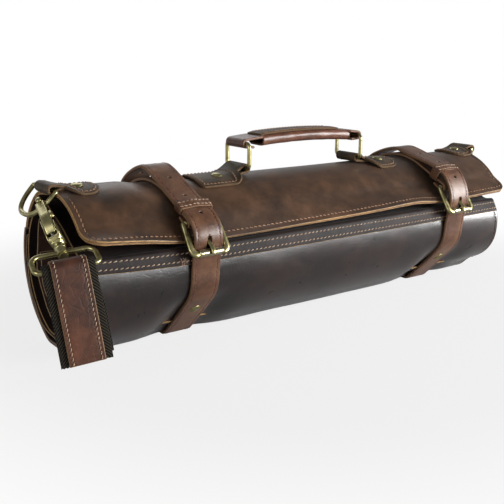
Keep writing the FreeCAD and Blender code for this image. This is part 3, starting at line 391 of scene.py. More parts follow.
def to_mesh(name: str, form: Form, weld: bool = True, rim: float = 0.0) -> Any:
    """Write a form into a new mesh, in metres, with its UVs and rim values.

    Args:
        name: the mesh's name.
        form: the arrays of the mesh, in millimetres.
        weld: whether to merge doubles and turn all faces outwards.
        rim: the rim value of a form that brings none.
    Returns:
        The mesh.
    """
    mesh = bpy.data.meshes.new(name)
    counts = np.concatenate([np.full(len(block), block.shape[1]) for block in form.faces])
    loops = np.concatenate([block.ravel() for block in form.faces]).astype(np.int32)
    mesh.vertices.add(len(form.verts))
    mesh.vertices.foreach_set("co", (form.verts * MM).astype(np.float32).ravel())
    mesh.loops.add(len(loops))
    mesh.loops.foreach_set("vertex_index", loops)
    mesh.polygons.add(len(counts))
    mesh.polygons.foreach_set("loop_start", (np.cumsum(counts) - counts).astype(np.int32))
    mesh.update(calc_edges=True)
    if form.uv is not None:
        layer = mesh.uv_layers.new(name="UVMap")
        layer.data.foreach_set("uv", (form.uv[loops] * MM).astype(np.float32).ravel())
    values = form.rim if form.rim is not None else np.full(len(form.verts), rim)
    mesh.attributes.new("rim", "FLOAT", "POINT").data.foreach_set("value", values.astype(np.float32))
    if weld:
        edit = bmesh.new()
        edit.from_mesh(mesh)
        bmesh.ops.remove_doubles(edit, verts=edit.verts, dist=0.02 * MM)
        bmesh.ops.dissolve_degenerate(edit, dist=0.005 * MM, edges=edit.edges)
        bmesh.ops.recalc_face_normals(edit, faces=edit.faces)
        edit.to_mesh(mesh)
        edit.free()
    mesh.polygons.foreach_set("use_smooth", np.ones(len(mesh.polygons), bool))
    mesh.validate()
    return mesh


def punched(mesh: Any, cutters: Sequence[Form]) -> Any:
    """Cut holes into a mesh; the holes' walls count as raw edge.

    Args:
        mesh: the whole mesh, which is used up.
        cutters: closed forms to take away.
    Returns:
        The mesh with its holes.
    """
    scene = bpy.context.scene.collection
    piece = bpy.data.objects.new("blank", mesh)
    scene.objects.link(piece)
    tools = []
    for number, cutter in enumerate(cutters):
        tool = bpy.data.objects.new(f"punch_{number}", to_mesh(f"punch_{number}", cutter, rim=1.0))
        scene.objects.link(tool)
        step = piece.modifiers.new(tool.name, "BOOLEAN")
        step.operation, step.solver, step.object = "DIFFERENCE", "EXACT", tool
        tools.append(tool)
    bpy.context.view_layer.update()
    shaped = piece.evaluated_get(bpy.context.evaluated_depsgraph_get())
    made = bpy.data.meshes.new_from_object(shaped)
    for used in [piece, *tools]:
        old = used.data
        bpy.data.objects.remove(used)
        bpy.data.meshes.remove(old)
    return made


def make_piece(name: str, form: Form, finish: Finish, body: str, replaces: Sequence[str] = (),
               weld: bool = True, holes: Sequence[Form] = ()) -> None:
    """Turn a form into an object that rides on a body.

    Args:
        name: the object's name.
        form: the arrays of the mesh, in millimetres.
        finish: what it is made of.
        body: the CAD body it moves with.
        replaces: CAD nodes that it stands for.
        weld: whether to merge doubles and turn all faces outwards.
        holes: forms to cut out of it.
    """
    mesh = to_mesh(name, form, weld)
    if holes:
        mesh = punched(mesh, holes)
        mesh.name = name
        mesh.materials.clear()
    mesh.materials.append(FINISHES.get(finish))
    piece = bpy.data.objects.new(name, mesh)
    bpy.context.scene.collection.objects.link(piece)
    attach(piece, body)
    if replaces:
        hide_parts(*replaces)
    LOG.info("%s: %d vertices on %s", name, len(mesh.vertices), body)


def sew(name: str, rows: Sequence[Form], finish: Finish, body: str = "roll") -> None:
    """Turn rows of stitches into one object that rides on a body."""
    make_piece(name, rows[0] if len(rows) == 1 else Form.join(rows), finish, body, weld=False)


# ---- curves and measures ---------------------------------------------------------------------

def unit(vectors: Array) -> Array:
    """Scale vectors to length one."""
    return vectors / np.maximum(np.linalg.norm(vectors, axis=-1, keepdims=True), 1e-9)


def bell(value: Array, middle: float, width: float) -> Array:
    """A bell curve: 1 at its middle, nearly nothing at twice its width from there."""
    return np.exp(-((value - middle) / width) ** 2)


def slope(value: Array, start: float, run: float) -> Array:
    """Nothing up to a start, then evenly up to 1 over a run."""
    return np.clip((value - start) / run, 0, 1)


def eased(share: Array) -> Array:
    """Turn an even rise from 0 to 1 into one that starts and ends level."""
    return share ** 2 * (3 - 2 * share)


def round_end(share: Array, least: float = 0.0) -> Array:
    """Half width of a round end at a share of its length from the tip, and never under the least."""
    return np.sqrt(np.clip(1 - (1 - share) ** 2, least, 1))


def corner_cut(to_end: Array, radius: float) -> Array:
    """How far a plan with round corners draws in at distances from its end."""
    left = np.clip(radius - to_end, 0, None)
    return radius - np.sqrt(np.clip(radius ** 2 - left ** 2, 0, None))


def spread(length: float, count: int, close: float = 1.0, inset: float = 0.0) -> Array:
    """Places from 0 to a length, with extra ones near both ends, so that a rim can be round.

    The first places step off the end by a ninth, a third, two thirds and all of the distance close.

    Args:
        length: the whole length.
        count: how many places the middle gets, its ends counted.
        close: over what distance the places lie close together.
        inset: a seam's distance from the edge, whose groove gets three more places.
    Returns:
        The places.
    """
    near = np.array([0.0, 0.11, 0.33, 0.66, 1.0]) * close
    if inset:
        near = np.concatenate([near, inset + np.array([-0.8, 0.0, 0.8])])
    middle = np.linspace(near[-1], length - near[-1], count)[1:-1]
    return np.concatenate([near, middle, (length - near)[::-1]])


def index_at(at: float | Sequence[float], places: Array) -> Any:
    """Where values fall in a rising list, as fractional numbers of its items."""
    return np.interp(at, places, np.arange(len(places)))


def along(points: Array) -> Array:
    """Distance run along a line of points."""
    steps = np.linalg.norm(np.diff(points, axis=0), axis=1)
    return np.concatenate([[0.0], np.cumsum(steps)])


def resample(points: Array, places: Array) -> Array:
    """Points at given distances along a line of points."""
    run = along(points)
    return np.stack([np.interp(places, run, points[:, k]) for k in range(points.shape[1])], axis=1)


def arc(centre: Sequence[float], radius: float, start: float, end: float, count: int = 40) -> Array:
    """Points of an arc in a plane, from a start angle to an end angle in degrees."""
    turn = np.radians(np.linspace(start, end, count))
    return np.stack([centre[0] + radius * np.cos(turn), centre[1] + radius * np.sin(turn)], axis=1)


def spline(points: Points, per_span: int) -> Array:
    """Draw a smooth line through points: the even Catmull-Rom cubic.

    Each span blends its four nearest points by the cubic with half the neighbours' difference as
    the slope at each end.

    Args:
        points: the knots, in a plane or in space.
        per_span: samples from one knot to the next.
    Returns:
        The samples, with the last knot.
    """
    p = np.asarray(points, float)
    p = np.vstack([2 * p[0] - p[1], p, 2 * p[-1] - p[-2]])
    t = np.linspace(0, 1, per_span, endpoint=False)[None, :, None]
    a, b, c, d = (p[k:len(p) - 3 + k][:, None, :] for k in range(4))
    body = 0.5 * (2 * b + (c - a) * t + (2 * a - 5 * b + 4 * c - d) * t ** 2
                  + (3 * b - a - 3 * c + d) * t ** 3)
    return np.vstack([body.reshape(-1, p.shape[1]), p[-2]])


def rounded_line(points: Points, radius: float | Sequence[float], closed: bool = False,
                 step: float = 0.8) -> Array:
    """Draw straight sides and round corners, sampled at even distances.

    Each corner is the arc that touches both its sides: its centre lies on the corner's bisector,
    and the arc turns from the direction of one touching point to that of the other.

    Args:
        points: the corners, in a plane or in space.
        radius: one corner radius, or one per corner.
        closed: whether the line returns to its first corner.
        step: distance between samples.
    Returns:
        The samples; a closed line doesn't repeat its first one.
    """
    p = np.asarray(points, float)
    line = []
    for k, (corner, r) in enumerate(zip(p, np.broadcast_to(np.asarray(radius, float), (len(p),)))):
        if not closed and k in (0, len(p) - 1):
            line.append(corner[None])
            continue
        into, out = unit(corner - p[k - 1]), unit(p[(k + 1) % len(p)] - corner)
        turn = math.acos(float(np.clip(into @ out, -1, 1)))
        reach = r * math.tan(turn / 2)
        centre = corner + unit(out - into) * r / math.cos(turn / 2)
        first, last = corner - into * reach - centre, corner + out * reach - centre
        t = np.linspace(0, 1, 9)[:, None]
        line.append(centre + (np.sin((1 - t) * turn) * first + np.sin(t * turn) * last) / math.sin(turn))
    if closed:
        line.append(line[0][:1])
    dense = np.vstack(line)
    total = along(dense)[-1]
    samples = resample(dense, np.linspace(0, total, max(int(total / step), 8) + 1))
    return samples[:-1] if closed else samples


def box_line(low: Sequence[float], high: Sequence[float], radius: float, step: float) -> Array:
    """A closed rectangle with round corners between two opposite corners."""
    (a, b), (c, d) = low, high
    return rounded_line([(a, b), (c, b), (c, d), (a, d)], radius, True, step)


def outline(half_wide: float, half_tall: float, power: float = 2.0, count: int = 20) -> Array:
    """A closed section between an ellipse and a rectangle: the superellipse of a given power.

    Args:
        half_wide: half its width.
        half_tall: half its height.
        power: 2 for an ellipse, more for a squarer section.
        count: how many points it has.
    Returns:
        The points.
    """
    turn = np.linspace(0, math.tau, count, endpoint=False)
    c, s = np.cos(turn), np.sin(turn)
    return np.stack([half_wide * np.sign(c) * np.abs(c) ** (2 / power),
                     half_tall * np.sign(s) * np.abs(s) ** (2 / power)], axis=1)


def sections(wide: Array, tall: Array, power: float, count: int) -> Array:
    """Superellipse sections with half widths and heights of their own, one per point of a path."""
    return outline(1.0, 1.0, power, count)[None] * np.stack([wide, tall], axis=1)[:, None]


def ripple(a: Array, b: Array, seed: int, size: float, waves: int = 5) -> Array:
    """A gentle unevenness: a sum of sines of random direction and phase, about -1 to 1.

    Args:
        a: places along a surface's one direction.
        b: places along its other direction.
        seed: what sets the random draws.
        size: about how long the waves are.
        waves: how many sines there are.
    Returns:
        The unevenness at each place.
    """
    dice = np.random.default_rng(seed)
    total = np.zeros(np.broadcast(a, b).shape)
    for _ in range(waves):
        turn = dice.uniform(0, math.tau)
        wave = math.tau / (size * dice.uniform(0.7, 1.6))
        total += np.sin(wave * (a * math.cos(turn) + b * math.sin(turn)) + dice.uniform(0, math.tau))
    return total / waves * 1.3


# ---- solids from grids and sections ----------------------------------------------------------

def quads(rows: int, columns: int, wrap_rows: bool = False, wrap_columns: bool = False) -> Array:
    """Quads of a grid of rows by columns, closed on itself where asked.

    Args:
        rows: how many rows the grid has.
        columns: how many columns it has.
        wrap_rows: whether the last row joins the first.
        wrap_columns: whether the last column joins the first.
    Returns:
        Four vertex numbers per quad.
    """
    r0, c0 = np.meshgrid(np.arange(rows if wrap_rows else rows - 1),
                         np.arange(columns if wrap_columns else columns - 1), indexing="ij")
    r1, c1 = (r0 + 1) % rows, (c0 + 1) % columns
    return np.stack([r0 * columns + c0, r0 * columns + c1, r1 * columns + c1, r1 * columns + c0],
                    axis=-1).reshape(-1, 4)


def wall(loop: Array, shift: int) -> Array:
    """Quads between a closed loop of vertex numbers and its copy a shift further on."""
    after = np.roll(loop, -1)
    return np.stack([loop, after, after + shift, loop + shift], axis=1)


def surface_normals(grid: Array) -> Array:
    """Unit normals of a grid surface: the cross product of its two running directions."""
    return unit(np.cross(np.gradient(grid, axis=0), np.gradient(grid, axis=1)))


def run_over(grid: Array, axis: int) -> Array:
    """Distance run over a grid along one of its axes, from its first row or column."""
    run = np.cumsum(np.linalg.norm(np.diff(grid, axis=axis), axis=2), axis=axis)
    return np.insert(run, 0, 0.0, axis=axis)


def shell(grid: Array, thick: float, rounding: float = 0.9, flip: bool = False,
          core: Array | None = None, groove: tuple[float, float] | None = None) -> Form:
    """A sheet of leather with thickness and rounded rims, on one side of a grid.

    The other side lies a thickness away along the normal. Within the rounding distance of a
    border both sides draw in by a quarter circle, and a strip joins them.

    Args:
        grid: the face that shows, rows by columns by 3.
        thick: the sheet's thickness.
        rounding: how far from the border the rim is round.
        flip: whether the leather lies on the side that the grid's normals point to.
        core: a point or grid that the leather lies towards, instead of flip.
        groove: a seam's distance from the border and how deep its thread pulls the face in.
    Returns:
        The closed form, with UVs in millimetres and the rim value rising to 1 on the border.
    """
    rows, columns = grid.shape[:2]
    normal = surface_normals(grid)
    if core is not None:
        flip = float(np.sum(normal * unit(grid - core), axis=-1).mean()) < 0
    down = normal if flip else -normal
    run_u, run_v = run_over(grid, 0), run_over(grid, 1)
    border = np.minimum(np.minimum(run_u, run_u[-1] - run_u),
                        np.minimum(run_v, run_v[:, -1:] - run_v))
    inset = min(rounding, thick * 0.46) * (1 - round_end(np.clip(border / rounding, 0, 1)))
    pull = groove[1] * bell(border, groove[0], 0.8) if groove else 0.0
    top = grid + down * (inset + pull)[..., None]
    low = grid + down * (thick - inset)[..., None]
    uv = np.tile(np.stack([run_u, run_v], axis=-1).reshape(-1, 2), (2, 1))
    rim = np.tile(np.clip(1 - border / (rounding * 0.9), 0, 1).ravel(), 2)
    face, shift = quads(rows, columns), rows * columns
    index = np.arange(shift).reshape(rows, columns)
    loop = np.concatenate([index[0, :-1], index[:-1, -1], index[-1, :0:-1], index[:0:-1, 0]])
    return Form(np.vstack([top.reshape(-1, 3), low.reshape(-1, 3)]),
                [face, face[:, ::-1] + shift, wall(loop, shift)], uv, rim)


def tube(path: Array, section: Array, across: Array, closed: bool = False) -> Form:
    """A section carried along a path that lies in a plane.

    The section's first axis lies in the path's plane, at right angles to the path, and its
    second axis is the plane's normal.

    Args:
        path: points of the path, n by 3.
        section: closed outline in its own plane, m by 2, or one per path point, n by m by 2.
        across: the plane's normal.
        closed: whether the path returns to its start.
    Returns:
        The form, with end caps where the path is open.
    """
    if closed:
        heading = unit(np.roll(path, -1, axis=0) - np.roll(path, 1, axis=0))
    else:
        heading = unit(np.gradient(path, axis=0))
    normal = np.broadcast_to(unit(np.asarray(across, float)), path.shape)
    out = unit(np.cross(heading, normal))
    section = np.broadcast_to(section, (len(path), *section.shape[-2:]))
    verts = path[:, None] + out[:, None] * section[..., :1] + normal[:, None] * section[..., 1:]
    count = section.shape[1]
    faces = [quads(len(path), count, wrap_rows=closed, wrap_columns=True)]
    verts = verts.reshape(-1, 3)
    if not closed:
        for number, start in enumerate((0, len(path) * count - count)):
            ring = np.arange(count)
            faces.append(np.stack([ring + start, np.roll(ring, -1) + start,
                                   np.full(count, len(path) * count + number)], axis=1))
        verts = np.vstack([verts, path[0], path[-1]])
    return Form(verts, faces)


def placed(flat: Array, origin: Array, x_way: Array, y_way: Array) -> Array:
    """Plane points set into space by an origin and two directions."""
    return np.asarray(origin) + flat[:, :1] * np.asarray(x_way) + flat[:, 1:] * np.asarray(y_way)


def lathe(profile: Points, centre: Array, axis: Array, count: int = 32, ring: bool = False) -> Form:
    """A profile of radius and height turned about an axis through a centre point.

    Args:
        profile: radius and height of each point.
        centre: the point of height nothing.
        axis: the way in which the height runs.
        count: steps round the axis.
        ring: whether the profile closes on itself instead of ending on the axis.
    Returns:
        The closed form.
    """
    line = np.asarray(profile, float)
    axis = unit(np.asarray(axis, float))
    side = unit(np.cross(axis, [0.0, 0.0, 1.0] if abs(axis[2]) < 0.9 else ALONG_X))
    other = np.cross(axis, side)
    turn = np.linspace(0, math.tau, count, endpoint=False)
    spokes = np.cos(turn)[:, None] * side + np.sin(turn)[:, None] * other
    verts = np.asarray(centre) + line[:, None, 1:] * axis + line[:, None, :1] * spokes[None]
    return Form(verts.reshape(-1, 3), [quads(len(line), count, wrap_rows=ring, wrap_columns=True)])


def rod(radius: float, low: float, high: float, centre: Array, axis: Array, count: int) -> Form:
    """A round bar about an axis, from a low to a high distance from a centre point."""
    return lathe([(0, low), (radius, low), (radius, high), (0, high)], centre, axis, count)


def prism(flat: Points, origin: Array, x_way: Array, y_way: Array, depth: float) -> Form:
    """A plane outline thickened by a depth to both sides of its plane.

    Args:
        flat: the outline.
        origin: its plane's origin.
        x_way: the plane's first direction.
        y_way: the plane's second direction.
        depth: half the thickness.
    Returns:
        The closed form.
    """
    edge = placed(np.asarray(flat, float), origin, x_way, y_way)
    lift = unit(np.cross(x_way, y_way)) * depth
    ring = np.arange(len(edge))
    return Form(np.vstack([edge - lift, edge + lift]),
                [wall(ring, len(edge)), ring[None, ::-1], ring[None] + len(edge)])


# ---- sewing ----------------------------------------------------------------------------------

def stitches(line: Array, normals: Array, pitch: float = 4.2, wide: float = 0.42,
             slant: float = 0.16) -> Form:
    """A row of thread stitches along a line on a surface.

    Every stitch is a capsule: six points round each of six rings whose radius follows a half
    ellipse along its length. It bows up in its middle and dips into the leather at both ends.

    Args:
        line: points on the surface along the seam.
        normals: the surface's outward directions at those points.
        pitch: distance from one needle hole to the next.
        wide: half the thread's width.
        slant: how far a stitch leans across the seam, as a slope.
    Returns:
        One form that holds the whole row.
    """
    fill, lift, rings, around = 0.84, 0.12, 6, 6
    run = along(line)
    count = max(int(run[-1] / pitch), 1)
    places = (np.arange(count) + 0.5) * run[-1] / count
    spot = resample(line, places)
    up = unit(resample(normals, places))
    ahead = unit(resample(line, places + 0.4) - resample(line, places - 0.4))
    ahead = unit(ahead + unit(np.cross(ahead, up)) * slant)
    side = unit(np.cross(ahead, up))
    t = np.linspace(-1, 1, rings)
    turn = np.arange(around) * math.tau / around
    girth = (np.sqrt(np.clip(1 - t ** 4, 0.04, 1)) * wide)[:, None]
    rise = lift + 0.25 * wide * (1 - t ** 2) - 0.35 * np.abs(t) ** 3
    verts = (spot[:, None, None] + ahead[:, None, None] * (t * pitch * fill / 2)[None, :, None, None]
             + up[:, None, None] * rise[None, :, None, None]
             + side[:, None, None] * (girth * np.cos(turn))[None, ..., None]
             + up[:, None, None] * (girth * 0.8 * np.sin(turn))[None, ..., None])
    block = quads(rings, around, wrap_columns=True)
    cap = np.array([[0, 5, 4], [0, 4, 3], [0, 3, 2], [0, 2, 1]])
    caps = np.vstack([cap, cap[:, ::-1] + (rings - 1) * around])
    steps = (np.arange(count) * rings * around)[:, None, None]
    return Form(verts.reshape(-1, 3), [(block[None] + steps).reshape(-1, 4),
                                       (caps[None] + steps).reshape(-1, 3)])


def seam(grid: Array, rows: Array, columns: Array, core: Sequence[float] | None = None
         ) -> tuple[Array, Array]:
    """Find a line on a grid and the directions that it faces.

    Args:
        grid: the surface.
        rows: fractional row numbers along the line.
        columns: fractional column numbers along the line, or one for all.
        core: Y and Z of a point that the directions are turned to face away from.
    Returns:
        The points and their directions.
    """
    r = np.clip(rows, 0, grid.shape[0] - 1.001)
    c = np.clip(columns, 0, grid.shape[1] - 1.001)
    r, c = np.broadcast_arrays(r, c)
    r0, c0 = r.astype(int), c.astype(int)
    fr, fc = (r - r0)[:, None], (c - c0)[:, None]

    def sample(values: Array) -> Array:
        """Blend the four grid values round each place."""
        return ((values[r0, c0] * (1 - fc) + values[r0, c0 + 1] * fc) * (1 - fr)
                + (values[r0 + 1, c0] * (1 - fc) + values[r0 + 1, c0 + 1] * fc) * fr)

    line, up = sample(grid), unit(sample(surface_normals(grid)))
    if core is not None:
        up = up * np.sign(np.sum(up[:, 1:] * (line[:, 1:] - np.asarray(core)), axis=1))[:, None]
    return line, up


def edge_rows(grid: Array, rows: Array, column: float, core: Sequence[float], **thread: float
              ) -> list[Form]:
    """Rows of stitches along both long edges of a grid, at a column counted from either edge."""
    return [stitches(*seam(grid, rows, c, core), **thread) for c in (column, grid.shape[1] - 1 - column)]


# ---- shapes that several pieces share --------------------------------------------------------

HANDS = {"left": -1, "right": 1}
STRAP_X = 148.2
STRAP_WIDTH = 26.0
ROLL_RADIUS = 64.0
ROLL_LEFT, ROLL_RIGHT = -248.0, 222.0
AXIS = (0.0, ROLL_RADIUS)
SHIM = 3.0
FOOT_RADIUS = 25.0
FOOT_HALF = math.sqrt((ROLL_RADIUS - FOOT_RADIUS) ** 2 - (ROLL_RADIUS - FOOT_RADIUS - SHIM) ** 2)
FOOT_LEVEL = SHIM + FOOT_RADIUS
FOOT_ANGLE = math.degrees(math.atan2(ROLL_RADIUS - FOOT_LEVEL, FOOT_HALF))
FLAP_AXIS = (3.2, ROLL_RADIUS)
FLAP_RADIUS = 64.3
OVER_FLAP = 64.7
TAB_THICK = 2.2


def joint(name: str) -> dict[str, Any]:
    """The joint of a name in the frame."""
    return next(j for j in frame["joints"] if j["name"] == name)


def pin(name: str) -> Array:
    """The place of a joint, in millimetres."""
    return np.array(joint(name)["pos_m"]) / MM


def axis_of(name: str) -> Array:
    """The direction of a joint's axis."""
    return unit(np.array(joint(name)["axis"], float))


def turn_path(out: float, rear: float, front: float) -> Array:
    """Draw one turn of leather in side view, from its rear end under the roll to its front end.

    Args:
        out: how far it lies outside the panel's face.
        rear: angle of its rear end about the axis, in degrees.
        front: angle of its front end.
    Returns:
        Y and Z of its points.
    """
    radius, foot = ROLL_RADIUS + out, FOOT_RADIUS + out
    pieces = [arc(AXIS, radius, rear, -FOOT_ANGLE, 60),
              arc((FOOT_HALF, FOOT_LEVEL), foot, -FOOT_ANGLE, -90, 12),
              arc((-FOOT_HALF, FOOT_LEVEL), foot, -90, FOOT_ANGLE - 180, 12)]
    if front < 180 + FOOT_ANGLE:
        pieces.append(arc(AXIS, radius, FOOT_ANGLE - 180, front - 360, 80))
    line = np.vstack(pieces)
    return line[np.insert(np.linalg.norm(np.diff(line, axis=0), axis=1) > 1e-6, 0, True)]


def strap_mask(x: Array, flat: float, fade: float) -> Array:
    """1 within a distance of either strap's middle, falling off as a bell curve beyond it."""
    away = np.minimum(np.abs(x - STRAP_X), np.abs(x + STRAP_X))
    return bell(np.clip(away - flat, 0, None), 0.0, fade)


def side_sheet(path: Array, count: int, x_places: Array, close: float) -> tuple[Array, Array]:
    """Carry a side-view path along X.

    Args:
        path: Y and Z of its points.
        count: how many places the middle of the path gets.
        x_places: where the grid's columns stand.
        close: over what distance the places lie close together at both ends.
    Returns:
        The grid and its rows' places on the path.
    """
    places = spread(along(path)[-1], count, close)
    flat = resample(path, places)
    x, y = np.meshgrid(x_places, flat[:, 0])
    return np.stack([x, y, np.broadcast_to(flat[:, 1:], x.shape)], axis=-1), places


def side_angle(grid: Array) -> tuple[Array, Array]:
    """Each point's angle about the roll's axis, and the outward direction there."""
    angle = np.arctan2(grid[..., 2] - AXIS[1], grid[..., 1] - AXIS[0])
    return np.degrees(angle) % 360, np.stack([np.zeros_like(angle), np.cos(angle), np.sin(angle)], -1)


def settle(grid: Array) -> Array:
    """Draw the roll in below and above its front at the right end, where it is rolled tighter.

    Args:
        grid: a layer of the roll.
    Returns:
        The drawn-in layer.
    """
    angle, out = side_angle(grid)
    inward = 5.0 * bell(angle, 160.0, 13.0) + 4.6 * bell(angle, 240.0, 15.0) - 2.2 * bell(angle, 203.0, 16.0)
    return grid - out * (inward * slope(grid[..., 0], 60.0, 160.0) ** 1.5)[..., None]


def sag(grid: Array) -> Array:
    """Let the underside down towards the table between and beyond the straps.

    Args:
        grid: a layer of the roll.
    Returns:
        The layer with its underside let down.
    """
    low = np.clip(1 - (grid[..., 2] - SHIM) / 9.0, 0, 1) ** 1.5
    down = 2.4 * low * (1 - strap_mask(grid[..., 0], 14.0, 16.0))
    return grid - down[..., None] * np.array([0.0, 0.0, 1.0])


@dataclass
class StrapLine:
    """A closing strap's outer face in side view: knots from the table up to its end at the rear."""

    side: int
    THICK: ClassVar[float] = 2.8
    FRONT: ClassVar[list[tuple[float, float]]] = [
        (-20.5, 1.6), (-30.0, 10.6), (-42.0, 22.4), (-53.0, 33.4), (-59.5, 40.5), (-63.8, 47.6),
        (-66.2, 56.0), (-67.2, 66.0), (-68.6, 75.0), (-69.9, 81.5), (-71.2, 86.8), (-71.9, 92.0)]
    TOP: ClassVar[dict[int, list[tuple[float, float]]]] = {
        -1: [(-71.0, 97.8), (-68.0, 103.6), (-62.8, 109.2), (-56.6, 112.8), (-49.3, 115.6), (-41.2, 118.8),
             (-32.0, 122.8), (-20.0, 128.6), (-8.0, 134.4), (3.0, 139.0), (12.0, 141.2), (21.0, 139.6),
             (31.0, 135.8), (41.0, 130.6), (50.0, 123.6), (57.5, 113.6)],
        1: [(-71.0, 98.4), (-68.9, 104.8), (-65.5, 111.0), (-61.0, 116.8), (-55.0, 121.0), (-47.5, 124.0),
            (-38.0, 126.8), (-26.0, 129.6), (-14.0, 132.2), (-2.0, 135.4), (8.0, 137.0), (20.0, 135.0),
            (33.0, 130.6), (43.5, 125.4), (51.0, 117.8), (56.5, 110.6)]}

    def __post_init__(self) -> None:
        """Join the turn under the roll and the knots, and note the room that the strap leaves."""
        free = spline(self.FRONT + self.TOP[self.side], 12)
        self.path = np.vstack([turn_path(0.2 + self.THICK, -18.0, 262.0)[:-9], free])
        run = unit(np.gradient(free, axis=0))
        inner = free + np.stack([run[:, 1], -run[:, 0]], axis=1) * (self.THICK + 0.15)
        turn = np.degrees(np.arctan2(inner[:, 1] - AXIS[1], inner[:, 0])) % 360
        front = slice(0, int(np.argmin(np.abs(turn - 150))))
        self.angles = turn[front][::-1]
        self.radii = np.hypot(inner[:, 0], inner[:, 1] - AXIS[1])[front][::-1]

    def place_of(self, y: float, z: float) -> float:
        """How far along the strap its outer face comes nearest to a point."""
        return float(along(self.path)[np.argmin(np.hypot(self.path[:, 0] - y, self.path[:, 1] - z))])

    def press(self, grid: Array, spare: float = 0.0) -> Array:
        """Push a layer of the roll inwards wherever the straps would cut into it.

        Args:
            grid: the layer.
            spare: how much room it leaves under the strap.
        Returns:
            The pushed layer.
        """
        angle, out = side_angle(grid)
        radius = np.hypot(grid[..., 1], grid[..., 2] - AXIS[1])
        room = np.interp(angle, self.angles, self.radii, left=200.0, right=200.0) - spare
        deep = np.clip(radius - room, 0, None) * strap_mask(grid[..., 0], 13.5, 17.0)
        return grid - out * deep[..., None]


STRAP_LINES = {side: StrapLine(side) for side in HANDS.values()}
STRAP_LINE = STRAP_LINES[-1]


# ---- the roll --------------------------------------------------------------------------------

@dataclass(frozen=True)
class Layer:
    """A thin turn inside the roll: its depth under the outer face, its end angles and its ends in X."""

    name: str
    node: str
    depth: float
    rear: float
    front: float
    thick: float
    left: float
    right: float
    seed: int
    sewn: bool = True


